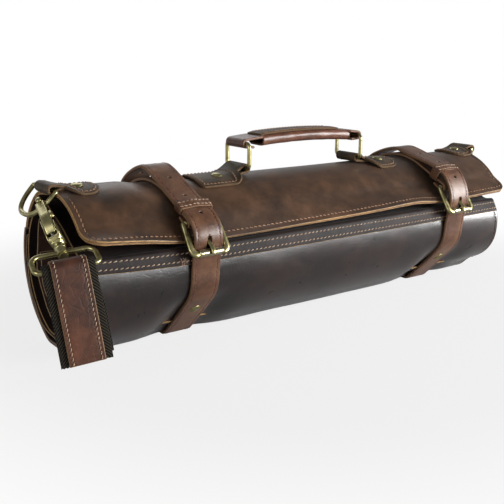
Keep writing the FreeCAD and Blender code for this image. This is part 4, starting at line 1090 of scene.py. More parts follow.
@dataclass
class Roll:
    """The rolled leather: outer panel, second turn, inner layers and the closing flap."""

    leather: float = 3.0
    flap_left: float = -245.5
    flap_right: float = 233.5
    flap_bend: float = 138.0
    flap_rear: float = 5.0
    flap_lip: float = 23.5
    corner: float = 13.0
    seam_inset: float = 4.6
    end_inset: float = 3.8
    layers: tuple[Layer, ...] = (
        Layer("lining_hide", "lining", 3.2, 20.0, 164.0, 1.0, -247.0, 221.0, 31, sewn=False),
        Layer("pocket_hide", "pocket_panel", 7.4, 40.0, 228.0, 1.6, -240.0, 214.0, 32),
        Layer("guard_hide", "guard_flap", 9.3, 5.0, 240.0, 1.4, -237.0, 211.0, 33))

    def build(self) -> None:
        """Make every layer of the roll."""
        self.outer_panel()
        self.second_turn()
        for layer in self.layers:
            self.inner_layer(layer)
        self.flap()
        self.loose_threads()

    def outer_panel(self) -> None:
        """The thick dark hide round the front, underside and rear, sewn along both open ends."""
        x = ROLL_LEFT + spread(ROLL_RIGHT - ROLL_LEFT, 170, 1.3, self.end_inset)
        grid, places = side_sheet(turn_path(0, 25.0, 162.0), 140, x, 1.3)
        grid = settle(sag(STRAP_LINE.press(grid, 0.2)))
        angle, out = side_angle(grid)
        front = bell(angle, 195.0, 38.0)
        waves = ripple(grid[..., 0], grid[..., 2] * 2.2, 3, 95.0, 6)
        fine = ripple(grid[..., 0] * 0.8, grid[..., 2] * 1.6, 11, 22.0, 7)
        free = 1 - 0.9 * strap_mask(grid[..., 0], 13.0, 14.0)
        push = front * free * (0.5 + 0.45 * waves + 0.09 * fine) + 0.3 * np.clip(waves, 0, 1) * (1 - front)
        grid -= out * push[..., None]
        form = shell(grid, self.leather, 1.1, flip=True, groove=(self.end_inset, 0.25))
        make_piece("outer_panel_hide", form, Finish.PANEL, "roll", ["outer_panel"])
        column = index_at(self.end_inset, x - ROLL_LEFT)
        rows = edge_rows(grid, np.linspace(6, len(places) - 7, 900), column, AXIS, pitch=4.2, wide=0.4)
        sew("outer_panel_stitching", rows, Finish.RED_THREAD)

    def second_turn(self) -> None:
        """The next turn in: its stitched raw edge laps over the panel, then it slopes in."""
        upper = [(-62.3, 84.5), (-60.6, 85.6), (-57.6, 85.4), (-53.0, 84.8), (-47.0, 86.0), (-40.0, 89.8),
                 (-30.0, 95.4), (-18.0, 102.3), (-6.0, 109.0), (6.0, 115.6), (16.0, 119.6)]
        edge = arc(AXIS, ROLL_RADIUS + 1.8, 173.0, 161.6, 12)
        x = ROLL_LEFT + 2 + spread(ROLL_RIGHT - ROLL_LEFT - 4, 140)
        grid, places = side_sheet(np.vstack([edge[:-1], spline(upper, 8)]), 70, x, 1.0)
        low = np.clip(1 - places / 24.0, 0, 1)[:, None]
        grid[..., 2] += 4.2 * slope(-grid[..., 0], 150.0, 90.0) ** 1.6 * np.clip(low * 1.4, 0, 1)
        wave = ripple(grid[..., 0], grid[..., 1] * 1.5, 21, 60.0)
        grid[..., 2] += wave * 1.1 * slope(places, 22.0, 20.0)[:, None]
        grid[..., 1] += (0.25 * wave + 0.25) * np.clip(1 - places / 26.0, 0, 1)[:, None]
        grid = STRAP_LINE.press(settle(grid))
        rest, _ = side_sheet(turn_path(58.5 - ROLL_RADIUS, 70.0, 235.0), 90, x, 1.0)
        body = Form.join([shell(grid, 1.9, 0.8, flip=True), shell(rest, 1.6, 0.7, flip=True)])
        make_piece("second_turn_hide", body, Finish.STRIP, "roll", ["inner_panel"])
        columns = np.linspace(2.5, len(x) - 3.5, 1200)
        rows = [stitches(*seam(grid, row, columns, AXIS), 4.4, 0.46, -0.3)
                for row in index_at([3.4, 9.6], places)]
        sew("second_turn_stitching", rows, Finish.PALE_THREAD)

    def inner_layer(self, layer: Layer) -> None:
        """Make a thin turned sheet with uneven, wavy ends, and its seam along the left one.

        Args:
            layer: its sizes.
        """
        x = layer.left + spread(layer.right - layer.left, 60, 0.8)
        grid, places = side_sheet(turn_path(-layer.depth, layer.rear, layer.front), 100, x, 0.8)
        grid = settle(STRAP_LINE.press(grid, 0.2 + layer.depth))
        _, out = side_angle(grid)
        ends = 1 - np.clip(np.minimum(x - layer.left, layer.right - x) / 60.0, 0, 1)[None, :]
        wave = ripple(grid[..., 1], grid[..., 2], layer.seed, 34.0, 4)
        grid[..., 0] += np.sign(grid[..., 0]) * 1.5 * wave * ends
        grid -= out * (np.abs(wave) * ends)[..., None]
        make_piece(layer.name, shell(grid, layer.thick, 0.6, flip=True), Finish.LINING, "roll",
                   [layer.node])
        if layer.sewn:
            line, up = seam(grid, np.linspace(4, len(places) - 5, 700), index_at(3.0, x - layer.left))
            sew(f"{layer.name}_stitching", [stitches(line - up * layer.thick, -up, 4.0, 0.4)],
                Finish.RED_THREAD)

    def edge_lift(self, x: Array) -> Array:
        """How the flap's front edge flares about its bend, in degrees: low at straps, high at ends.

        Args:
            x: places along the edge.
        Returns:
            The angle at each place.
        """
        knots = spline([(-246.0, 44.0), (-230.0, 40.0), (-213.0, 34.0), (-195.0, 26.0), (-178.0, 15.0),
                        (-160.0, 4.0), (-140.0, -3.0), (-100.0, -4.0), (-50.0, 1.0), (0.0, 6.0),
                        (45.0, 13.0), (80.0, 20.0), (102.0, 20.0), (122.0, 11.0), (145.0, 3.0),
                        (170.0, 9.0), (200.0, 15.0), (220.0, 18.0), (236.0, 20.0)], 6)
        return np.interp(x, knots[:, 0], knots[:, 1])

    def flap_grid(self) -> tuple[Array, Array, Array]:
        """Draw the flap's upper side, from its rear hem over the top to the raw front edge.

        Returns:
            The grid, its rows' places along the flap and its columns' places from the left edge.
        """
        half, middle = (self.flap_right - self.flap_left) / 2, (self.flap_right + self.flap_left) / 2
        across = spread(2 * half, 150, 1.3, self.seam_inset)
        wrap = math.radians(self.flap_bend + self.flap_rear) * FLAP_RADIUS
        length = wrap + self.flap_lip
        places = spread(length, 120, 1.3, self.seam_inset)
        x = middle + (across / half - 1)[None, :] * (half - corner_cut(length - places, self.corner)[:, None])
        angle = (np.minimum(places, wrap) / FLAP_RADIUS - math.radians(self.flap_rear))[:, None]
        past = np.maximum(places - wrap, 0)[:, None]
        way = math.radians(self.flap_bend + 90.0) - np.radians(self.edge_lift(x)) * past / (past + 5.0)
        y = FLAP_AXIS[0] + FLAP_RADIUS * np.cos(angle) + past * np.cos(way)
        z = FLAP_AXIS[1] + FLAP_RADIUS * np.sin(angle) + past * np.sin(way)
        turn = np.arctan2(z - FLAP_AXIS[1], y - FLAP_AXIS[0])
        top = np.clip(np.sin(turn), 0, 1)
        # The flap lies unevenly between the straps, dips at its left end and bulges beside the strap.
        wave = ripple(x, y * 1.4, 41, 120.0, 5)
        push = (0.5 + 0.5 * wave) * (1 - strap_mask(x, 12.0, 18.0)) * top * 0.9 + 0.4 * top
        push += 2.6 * np.exp(-((x + 248.0) / 7.0) ** 2 - ((y - 8.0) / 15.0) ** 4) * top
        push -= 2.8 * eased(slope(-x, 166.0, 22.0)) * np.clip(top * 1.25 - 0.1, 0, 1) ** 2
        out = np.stack([np.zeros_like(x), np.cos(turn), np.sin(turn)], -1)
        return np.stack([x, y, z], -1) - out * push[..., None], places, across

    def flap(self) -> None:
        """The closing flap: two layers glued and sewn together along one seam near the edge."""
        grid, places, across = self.flap_grid()
        upper = shell(grid, 1.9, 0.8, groove=(self.seam_inset, 0.3))
        lower = shell(grid - surface_normals(grid) * 1.95, 1.7, 0.7)
        make_piece("flap_hide", upper, Finish.FLAP, "roll", ["flap"])
        make_piece("flap_lining", lower, Finish.FLAP_INSIDE, "roll")
        # The seam goes up the left edge, along the front and back down the right edge.
        row, column = index_at(places[-1] - self.seam_inset, places), index_at(self.seam_inset, across)
        row_bend, column_bend = 4.0, 3.2
        last = len(across) - 1
        bend = np.linspace(0, math.pi / 2, 40)
        left_rows = np.concatenate([np.linspace(12, row - row_bend, 500),
                                    row - row_bend + row_bend * np.sin(bend)])
        left_columns = np.concatenate([np.full(500, column), column + column_bend * (1 - np.cos(bend))])
        front = np.linspace(column + column_bend, last - column - column_bend, 1200)
        rows = np.concatenate([left_rows, np.full(1200, row), left_rows[::-1]])
        columns = np.concatenate([left_columns, front, last - left_columns[::-1]])
        sew("flap_stitching", [stitches(*seam(grid, rows, columns), 4.4, 0.48, -0.25)], Finish.TAN_THREAD)

    def loose_threads(self) -> None:
        """Cut thread ends where the second turn's seam stops beside the left strap."""
        ends = [[(-172.0, -66.9, 79.5), (-171.6, -68.2, 77.2), (-171.0, -68.4, 74.4), (-171.8, -68.0, 72.4)],
                [(-169.6, -66.9, 79.4), (-169.0, -68.4, 77.0), (-169.6, -68.6, 74.6), (-168.4, -68.2, 73.2)],
                [(-167.4, -66.9, 79.3), (-168.2, -68.3, 77.6), (-167.4, -68.4, 75.6), (-166.4, -68.2, 75.0)]]
        thread = outline(0.24, 0.24, 2, 6)
        forms = [tube(spline(points, 8), thread, np.array([0.2, 1.0, 0.1])) for points in ends]
        make_piece("loose_thread_ends", Form.join(forms), Finish.TAN_THREAD, "roll")


# ---- closing straps --------------------------------------------------------------------------

def dome_profile(radius: float, rise: float) -> Array:
    """Half a low dome with a rolled rim and a flat underside, as radius and height.

    Args:
        radius: its radius.
        rise: its height.
    Returns:
        The points, from the top to the axis below.
    """
    turn = np.radians(np.linspace(90, 8, 14))
    crown = np.stack([radius * 0.95 * np.cos(turn), 0.35 + (rise - 0.35) * np.sin(turn)], axis=1)
    return np.vstack([crown, [(radius * 0.985, 0.42), (radius, 0.22), (radius * 0.99, 0.02),
                              (radius * 0.9, -0.15), (0.0, -0.15)]])


def rivet(spot: Array, out: Array, radius: float, rise: float, deep: float) -> list[Form]:
    """A rivet's domed cap on a leather, and its small cap a distance deep inside the roll."""
    return [lathe(dome_profile(radius, rise), spot, out, 36),
            lathe(dome_profile(3.6, 0.9), spot - out * deep, -out, 24)]


@dataclass
class ClosingStrap:
    """One side's belt: the holed strap, the buckle strap under it, the keeper and two rivets."""

    side: int
    hand: str
    under_thick: float = 2.5
    hinge_bore: float = 2.3
    leave: float = 115.9
    hole_pitch: float = 26.0
    hole_radius: float = 1.55
    seam_inset: float = 3.0
    keeper_wide: float = 10.0
    keeper_back: float = 12.6

    def __post_init__(self) -> None:
        """Find the middle of the strap and of the buckle's hinge bar."""
        self.x = self.side * STRAP_X
        self.hinge = pin(f"{self.hand}_buckle_hinge")[1:]

    def build(self) -> None:
        """Make the strap pieces of this side."""
        self.holed_strap()
        self.under_strap()
        self.keeper()
        self.rivets()

    def band(self, path: Array, count: int, tip: float = 0.0) -> tuple[Array, Array]:
        """Carry the strap's width along a side-view path, a little domed across.

        Args:
            path: Y and Z of its points.
            count: how many places the middle of the path gets.
            tip: over what length the end narrows to a round tip.
        Returns:
            The grid and its rows' places on the path.
        """
        places = spread(along(path)[-1], count, 0.9, self.seam_inset)
        flat = resample(path, places)
        across = spread(STRAP_WIDTH, 12, 0.9, self.seam_inset) - STRAP_WIDTH / 2
        squeeze = round_end(slope(places[-1] - places, 0.0, tip), 0.02) if tip else np.ones_like(places)
        x = self.x + across[None, :] * squeeze[:, None]
        grid = np.stack([x, *(np.broadcast_to(flat[:, k:k + 1], x.shape) for k in (0, 1))], axis=-1)
        normal = surface_normals(grid)
        outward = np.sign(np.sum(normal * side_angle(grid)[1], axis=-1).mean())
        dome = 0.22 * (1 - (across / (STRAP_WIDTH / 2)) ** 2)
        return grid + normal * dome[None, :, None] * outward, places

    def edge_seams(self, name: str, grid: Array, places: Array, end: float) -> None:
        """Sew both long edges of a strap, from near its start to a place along it.

        Args:
            name: the strap's name.
            grid: its face.
            places: the grid rows' places along it.
            end: where the seams end.
        """
        rows = edge_rows(grid, index_at(np.linspace(4.0, end, 900), places), 6.0, AXIS, pitch=3.3, wide=0.46,
                         slant=0.2)
        sew(f"{name}_stitching_{self.hand}", rows, Finish.RED_THREAD)

    def holed_strap(self) -> None:
        """The strap with punched holes: from the table up through the buckle and over the top."""
        whole = STRAP_LINES[self.side]
        grid, places = self.band(whole.path, 250, tip=12.0)
        notch, first_hole = whole.place_of(-71.6, 88.6) + 0.5, whole.place_of(-59.5, 111.4)
        spots = np.array([notch] + [first_hole + k * self.hole_pitch for k in range(5)])
        line = resample(whole.path, spots)
        ways = unit(resample(whole.path, spots + 0.5) - line)
        points = np.insert(line, 0, self.x, axis=1)
        # The tongue's hole is stretched to a wedge; the others are round.
        wedge = [(-0.7, 6.2), (0.7, 6.2), (1.8, 4.4), (2.4, 1.0), (3.3, -5.5), (-3.3, -5.5), (-2.4, 1.0),
                 (-1.8, 4.4)]
        cutters = [prism(wedge, points[0], ALONG_X, np.array([0.0, *ways[0]]), 6.0)]
        cutters += [rod(self.hole_radius, -6.0, 6.0, point, np.array([0.0, -way[1], way[0]]), 20)
                    for point, way in zip(points[1:], ways[1:])]
        form = shell(grid, StrapLine.THICK, 0.9, flip=True, groove=(self.seam_inset, 0.22))
        make_piece(f"holed_strap_{self.hand}", form, Finish.STRAP, "roll", [f"hole_strap_{self.hand}"],
                   holes=cutters)
        self.edge_seams("holed_strap", grid, places, places[-1] - 12.0)

    def under_strap(self) -> None:
        """The strap folded round the buckle's hinge bar, running under the holed strap to the rear."""
        over = arc(FLAP_AXIS, OVER_FLAP + self.under_thick, -38.0, self.leave, 120)
        fold = arc(self.hinge, self.hinge_bore + self.under_thick, self.leave, self.leave + 190, 30)
        turn = math.radians(self.leave + 280)
        tail = fold[-1] + np.array([[math.cos(turn), math.sin(turn)]]) * np.linspace(0.5, 10.0, 6)[:, None]
        grid, places = self.band(np.vstack([over, fold, tail]), 150)
        slot = rod(6.8, -3.0, 3.0, np.array([self.x, *self.hinge]), ALONG_X, 24)
        make_piece(f"buckle_strap_{self.hand}_hide", shell(grid, self.under_thick, 0.9), Finish.STRAP,
                   "roll", [f"buckle_strap_{self.hand}"], holes=[slot])
        self.edge_seams("buckle_strap", grid, places, along(over)[-1] - 4.0)

    def keeper(self) -> None:
        """The fixed loop round both straps, with a double row of pale stitches."""
        way = math.radians(self.leave)
        back, out = np.array([math.sin(way), -math.cos(way)]), np.array([math.cos(way), math.sin(way)])
        middle = self.hinge + back * self.keeper_back
        rise = 5.6 if self.side > 0 else 1.0
        low, high = self.hinge_bore - 0.2, self.hinge_bore + self.under_thick + StrapLine.THICK + rise
        half = STRAP_WIDTH / 2 + 0.6
        loop = rounded_line([(-half, low), (-half, high), (half, high), (half, low)], 2.0, True, 1.0)
        loop = np.vstack([loop, loop[:1]])
        wide = spread(self.keeper_wide, 9, 0.6, 2.3) - self.keeper_wide / 2
        dome = 0.35 * (1 - (wide / (self.keeper_wide / 2)) ** 2)
        centre = (low + high) / 2
        ring = loop[None] + unit(loop - [0, centre])[None] * (1.5 + dome[:, None, None])
        flat = middle + back * wide[:, None, None] + out * ring[..., 1:]
        grid = np.concatenate([self.x + ring[..., :1], flat], axis=-1)
        core = np.array([self.x, *(middle + out * centre)])
        make_piece(f"keeper_{self.hand}_hide", shell(grid, 1.5, 0.6, core=core), Finish.STRAP, "roll",
                   [f"keeper_{self.hand}"])
        columns = np.flatnonzero(loop[:, 1] > high - 1.2).astype(float)
        rows = []
        for place in (-2.5, 2.5):
            line, _ = seam(grid, index_at(place, wide), columns)
            rows.append(stitches(line, unit(unit(line - core) * [0.25, 1, 1]), 3.4, 0.6, 0.25))
        sew(f"keeper_stitching_{self.hand}", rows, Finish.PALE_THREAD)

    def rivets(self) -> None:
        """Two domed caps outside the straps and their small caps inside the roll."""
        place = STRAP_LINE.place_of(-48.5, 28.9)
        front, next_to_it = resample(STRAP_LINE.path, np.array([place, place + 0.5]))
        ahead = unit(next_to_it - front)
        turn = math.radians(-28.0)
        rear = np.array([math.cos(turn), math.sin(turn)])
        forms = []
        for spot, out, deep in ((front, np.array([-ahead[1], ahead[0]]), 10.0),
                                (np.array(FLAP_AXIS) + rear * (OVER_FLAP + self.under_thick), rear, 8.0)):
            forms += rivet(np.array([self.x, *spot]), np.array([0.0, *out]), 4.9, 1.5, deep)
        make_piece(f"strap_rivet_caps_{self.hand}", Form.join(forms), Finish.BRASS, "roll",
                   ["strap_rivets"] if self.side < 0 else [])


# ---- roller buckles --------------------------------------------------------------------------

@dataclass
class Buckle:
    """A cast roller buckle: tapered arms, hinge bar, a turning sleeve and a tongue."""

    hand: str
    half: float = 15.7
    reach: float = 26.9
    wire: float = 1.9
    tilt: float = 234.4
    past_bar: float = 1.2
    bar_half: float = 14.6
    sleeve_half: float = 10.9
    sleeve_radius: float = 3.08

    def __post_init__(self) -> None:
        """Find the hinge bar's middle, the way to the roller and the way outwards."""
        turn = math.radians(self.tilt)
        self.hinge = pin(f"{self.hand}_buckle_hinge")
        self.ahead = np.array([0.0, math.cos(turn), math.sin(turn)])
        self.out = np.array([0.0, self.ahead[2], -self.ahead[1]])

    def build(self) -> None:
        """Make the frame, the roller and the tongue."""
        self.frame_piece()
        self.roller()
        self.tongue()

    def frame_piece(self) -> None:
        """The frame: its arms widen towards the roller, and their tops stand past the hinge bar."""
        flat = rounded_line([(-self.half, -self.past_bar), (-self.half, self.reach), (self.half, self.reach),
                             (self.half, -self.past_bar)], 4.6, step=0.5)
        run = along(flat)
        cap = round_end(slope(np.minimum(run, run[-1] - run), 0.0, 2.2), 0.03)
        beside = 1 / (1 + np.exp((11.6 - np.abs(flat[:, 0])) * 2.6))
        swell = (0.15 + 0.75 * slope(flat[:, 1], 0.0, self.reach) ** 0.8) * beside
        shift = self.outward(flat) * (swell * 0.8)[:, None]
        arms = tube(placed(flat + shift, self.hinge, ALONG_X, self.ahead),
                    sections((self.wire + swell) * cap, (self.wire + 0.35 * beside) * cap, 2.5, 24), self.out)
        pole = np.linspace(self.hinge - ALONG_X * self.bar_half, self.hinge + ALONG_X * self.bar_half, 12)
        form = Form.join([arms, tube(pole, outline(self.wire, self.wire), self.out)])
        make_piece(f"buckle_frame_{self.hand}_cast", form, Finish.BRASS, f"{self.hand}_buckle",
                   [f"buckle_frame_{self.hand}"])

    def outward(self, flat: Array) -> Array:
        """The in-plane direction away from the buckle's middle, at right angles to the wire.

        Args:
            flat: the line of the wire.
        Returns:
            A direction per point.
        """
        run = unit(np.gradient(flat, axis=0))
        side = np.stack([run[:, 1], -run[:, 0]], axis=1)
        return side * np.sign(np.sum(side * (flat - [0, self.reach / 2]), axis=1))[:, None]

    def roller(self) -> None:
        """The sleeve, its ends chamfered so that a dark line parts it from the frame."""
        half, radius = self.sleeve_half, self.sleeve_radius
        bore = radius - 1.1
        right = [(radius, half - 6.9), (radius, half - 0.9), (radius - 0.08, half - 0.5),
                 (radius - 0.58, half), (bore, half)]
        profile = [(r, -place) for r, place in right[::-1]] + right
        make_piece(f"buckle_roller_{self.hand}_sleeve",
                   lathe(profile, pin(f"{self.hand}_roller_spin"), ALONG_X, 40, ring=True), Finish.ROLLER,
                   f"{self.hand}_roller", [f"buckle_roller_{self.hand}"])

    def tongue(self) -> None:
        """The tongue: an eye round the hinge bar and a shank that bows over the roller."""
        turn = np.linspace(0, math.tau, 24, endpoint=False)
        eye_line = self.hinge + 3.0 * (np.cos(turn)[:, None] * self.ahead + np.sin(turn)[:, None] * self.out)
        eye = tube(eye_line, outline(0.72, 1.7, 3, 14), ALONG_X, closed=True)
        bow = spline([(0.4, 3.35), (4.0, 3.4), (9.0, 2.3), (15.0, 2.0), (20.0, 3.2), (23.5, 4.3),
                      (26.9, 4.75), (29.4, 4.3), (30.6, 2.9)], 8)
        flat = resample(bow, np.linspace(0, along(bow)[-1], 40))
        run = along(flat)
        end = round_end(slope(run[-1] - run, 0.0, 1.2), 0.05)
        tip = slope(run, 22.0, 8.0)
        shank = tube(placed(flat, self.hinge, self.ahead, self.out),
                     sections((1.15 - 0.2 * tip) * end, (1.65 + 0.25 * tip) * end, 2.6, 16), ALONG_X)
        make_piece(f"buckle_tongue_{self.hand}_cast", Form.join([eye, shank]), Finish.BRASS,
                   f"{self.hand}_tongue", [f"buckle_tongue_{self.hand}"])


# ---- leather tabs ----------------------------------------------------------------------------

@dataclass
class LeatherTab:
    """A shaped plate on the flap whose neck turns over a ring's bar and back under the plate.

    Args:
        name: the piece's name and the CAD node that it replaces.
        away: 1 or -1, the way along X from the bar to the plate.
        bar: the middle of the ring's bar.
        bore: radius of the fold's inner face.
        plate_length: how long the wide part is.
        far_corner: radius of the corners at the far end.
        front: Y of the plate's front edge.
        rear: Y of the plate's rear edge.
        rivet_at: X and Y of the rivet's middle.
        loop_y: Y of the neck's middle.
        raised: how far the plate lies above the flap's round.
        half_loop: half the neck's width.
        neck: distance from the bar to the plate's root.
        lift_end: distance from the bar at which the leather leaves the flap towards the bar.
    """

    name: str
    away: int
    bar: Array
    bore: float
    plate_length: float
    far_corner: float
    front: float
    rear: float
    rivet_at: tuple[float, float]
    loop_y: float
    raised: float = 0.0
    half_loop: float = 13.5
    neck: float = 11.0
    lift_end: float = 27.0

    def __post_init__(self) -> None:
        """Work out the plate's far end, the height of its top and the rise to the bar's fold."""
        self.far = self.neck + self.plate_length
        self.top = float(self.level(np.array(self.loop_y)))
        self.reach = self.bore + TAB_THICK
        self.rise = self.bar[2] + self.reach - self.top

    def level(self, y: Array, out: float = TAB_THICK) -> Array:
        """Height over the table of a face that lies a distance outside the flap, at a Y."""
        reach = FLAP_RADIUS - 0.5 + out
        return FLAP_AXIS[1] + self.raised + np.sqrt(reach ** 2 - (y - FLAP_AXIS[0]) ** 2)

    def edges(self, s: Array) -> tuple[Array, Array]:
        """The plate's middle and half width at distances from the bar, with rounded corners.

        Args:
            s: distances from the bar.
        Returns:
            The middle and the half width at each.
        """
        t = slope(s, self.neck, 9.0)
        t = np.sqrt(np.clip(1 - (1 - t) ** 2.2, 0, 1))
        plate, middle = (self.rear - self.front) / 2, (self.rear + self.front) / 2
        cut = corner_cut(np.clip(self.far - s, 0, None), self.far_corner)
        half = np.minimum(plate - cut, self.half_loop + (plate - self.half_loop) * t)
        return self.loop_y + (middle - self.loop_y) * t, half

    def build(self) -> None:
        """Make the folded sheet and its seam."""
        bz, top, reach, rest = self.bar[2], self.top, self.reach, self.top - TAB_THICK
        plate = np.stack([np.linspace(self.far, self.lift_end, 40), np.full(40, top)], axis=1)
        climb = [(self.lift_end, 0.0), (21.0, 0.02), (15.0, 0.16), (10.0, 0.42), (5.0, 0.8)]
        knots = [(s, top + share * self.rise) for s, share in climb] + [(0.8, top + self.rise - 0.08)]
        rise = spline(knots, 8)[1:]
        lap = spline([(0.4, bz - reach), (4.0, max(bz - reach, rest - 0.8)), (9.0, rest + 0.1),
                      (16.0, rest + 0.1)], 8)
        path = np.vstack([plate, rise, arc((0.0, bz), reach, 84, 268, 30), lap])
        places = spread(along(path)[-1], 150, 0.8)
        flat = resample(path, places)
        folded = places > along(path)[len(plate) + len(rise)]
        middle, half = self.edges(flat[:, 0])
        middle, half = np.where(folded, self.loop_y, middle), np.where(folded, self.half_loop, half)
        y = middle[:, None] + half[:, None] * (spread(2.0, 26, 0.06) - 1.0)[None, :]
        follow = np.where(folded, 0.6, slope(flat[:, 0], 4.0, 16.0)) * (flat[:, 0] > 2.0)
        z = flat[:, 1:] + (self.level(y) - top) * follow[:, None]
        x = self.bar[0] + self.away * np.broadcast_to(flat[:, :1], y.shape)
        grid = np.stack([x, y, z], axis=-1)
        turned = bool(surface_normals(grid)[2, :, 2].mean() < 0)
        make_piece(f"{self.name}_hide", shell(grid, TAB_THICK, 0.8, flip=turned, groove=(3.0, 0.2)),
                   Finish.TAB, "roll", [self.name])
        self.seam_row()

    def seam_row(self) -> None:
        """One row of stitches round the plate and across the root of its neck."""
        inset, loop_half = 3.0, self.half_loop - 2.2
        start, end = self.neck + 3.5, self.far - inset
        shoulder, corner = start + 5.0, max(self.far_corner - inset, 1.5)
        low, high = self.front + inset, self.rear - inset
        shape = rounded_line([(start, self.loop_y - loop_half), (shoulder, low), (end, low), (end, high),
                              (shoulder, high), (start, self.loop_y + loop_half)],
                             [1.0, 3.0, corner, corner, 3.0, 1.0], closed=True, step=0.6)
        s, y = shape[:, 0], shape[:, 1]
        lift = np.interp(s, [10.0, 15.0, 21.0, self.lift_end], [0.42, 0.16, 0.02, 0.0]) * self.rise
        z = self.top + lift + (self.level(y) - self.top) * slope(s, 4.0, 16.0)
        line = np.stack([self.bar[0] + self.away * s, y, z], axis=1)
        lean = np.interp(s, [10.0, 20.0, self.lift_end], [-0.2, -0.15, 0.0])
        up = unit(np.stack([-self.away * lean, (y - FLAP_AXIS[0]) / 60.0,
                            (self.level(y) - FLAP_AXIS[1]) / 60.0], axis=1))
        sew(f"{self.name}_stitching", [stitches(line, up, 3.6, 0.5)], Finish.TAN_THREAD)

    def rivet_caps(self) -> list[Form]:
        """The rivet's domed cap on the plate and its small cap below the flap.

        Returns:
            Both caps.
        """
        x, y = self.rivet_at
        spot = np.array([x, y, float(self.level(np.array(y), TAB_THICK + 0.35))])
        return rivet(spot, unit(np.array([0.0, y - FLAP_AXIS[0], spot[2] - FLAP_AXIS[1]])), 5.0, 1.6, 8.0)


def handle_tab(hand: str, side: int) -> LeatherTab:
    """The tab that holds one ring of the handle; the right one is shorter and round.

    Args:
        hand: the side's name.
        side: -1 on the left, 1 on the right.
    Returns:
        The tab.
    """
    length, corner = (44.0, 3.0) if side < 0 else (36.0, 14.0)
    return LeatherTab(f"handle_tab_{hand}", side, pin(f"{hand}_ring_hinge"), 2.12, length, corner,
                      front=-24.0, rear=18.5, rivet_at=(side * 97.0, -6.0), loop_y=5.0)


def ring_anchor(hand: str, side: int) -> LeatherTab:
    """The tab that holds one D-ring at an end of the flap.

    Args:
        hand: the side's name.
        side: -1 on the left, 1 on the right.
    Returns:
        The tab.
    """
    if side < 0:
        shift, length, rivet_at, raised = [0.0, 0.0, 0.4], 26.0, (-226.0, -2.5), 2.4
    else:
        shift, length, rivet_at, raised = [3.0, 0.0, 2.2], 28.0, (221.0, 0.5), 0.0
    return LeatherTab(f"ring_anchor_{hand}", -side, pin(f"{hand}_d_ring_hinge") - shift, 2.32, length, 13.0,
                      front=-19.0, rear=22.0, rivet_at=rivet_at, loop_y=8.0, raised=raised)


@dataclass
class EndRing:
    """A cast D-ring that hangs in its anchor and holds the snap hook on its bow.

    Args:
        hand: the side's name.
        side: -1 on the left, 1 on the right.
        half: half the bar's length.
        run: how far the arms run straight.
        depth: the bow's depth beyond them.
        power: how square the bow is.
        hang: how steeply the ring hangs, in degrees.
        y: Y of the bar's middle.
        inward: how far the bar lies inwards from the joint.
        wire: half the wire's thickness.
        drop: how far the bar lies below the joint.
    """

    hand: str
    side: int
    half: float = 21.9
    run: float = 1.55
    depth: float = 24.2
    power: float = 2.5
    hang: float = 46.8
    y: float = 15.1
    inward: float = 2.0
    wire: float = 1.95
    drop: float = 1.6

    def build(self) -> None:
        """Make the ring: a straight bar, two short arms and a full, nearly oval bow.

        The bow is a superellipse: y and depth are powers 2 / power of a circle's.
        """
        bar = pin(f"{self.hand}_d_ring_hinge") - [self.side * self.inward, 0.0, self.drop]
        bar[1] = self.y
        hang = math.radians(self.hang)
        down = np.array([self.side * math.cos(hang), 0.0, -math.sin(hang)])
        turn = np.radians(np.linspace(0, 180, 90))
        wide, deep = np.cos(turn), np.sin(turn)
        curve = np.stack([self.half * np.sign(wide) * np.abs(wide) ** (2 / self.power),
                          self.run + self.depth * deep ** (2 / self.power)], axis=1)
        base = rounded_line([(-self.half, self.run), (-self.half, 0.0), (self.half, 0.0),
                             (self.half, self.run)], 1.5)
        whole = np.vstack([curve[:-1], base[:-1], curve[:1]])
        flat = resample(whole, np.linspace(0, along(whole)[-1], 121))[:-1]
        form = tube(placed(flat, bar, ALONG_Y, down), outline(self.wire, self.wire), np.cross(ALONG_Y, down),
                    closed=True)
        make_piece(f"d_ring_{self.hand}_cast", form, Finish.BRASS, f"{self.hand}_d_ring",
                   [f"d_ring_{self.hand}"])


END_RINGS = {
    "left": EndRing("left", -1),
    "right": EndRing("right", 1, half=14.5, run=1.5, depth=17.0, power=2.1, hang=80.0, y=11.0, inward=2.2)}


# ---- snap hook -------------------------------------------------------------------------------

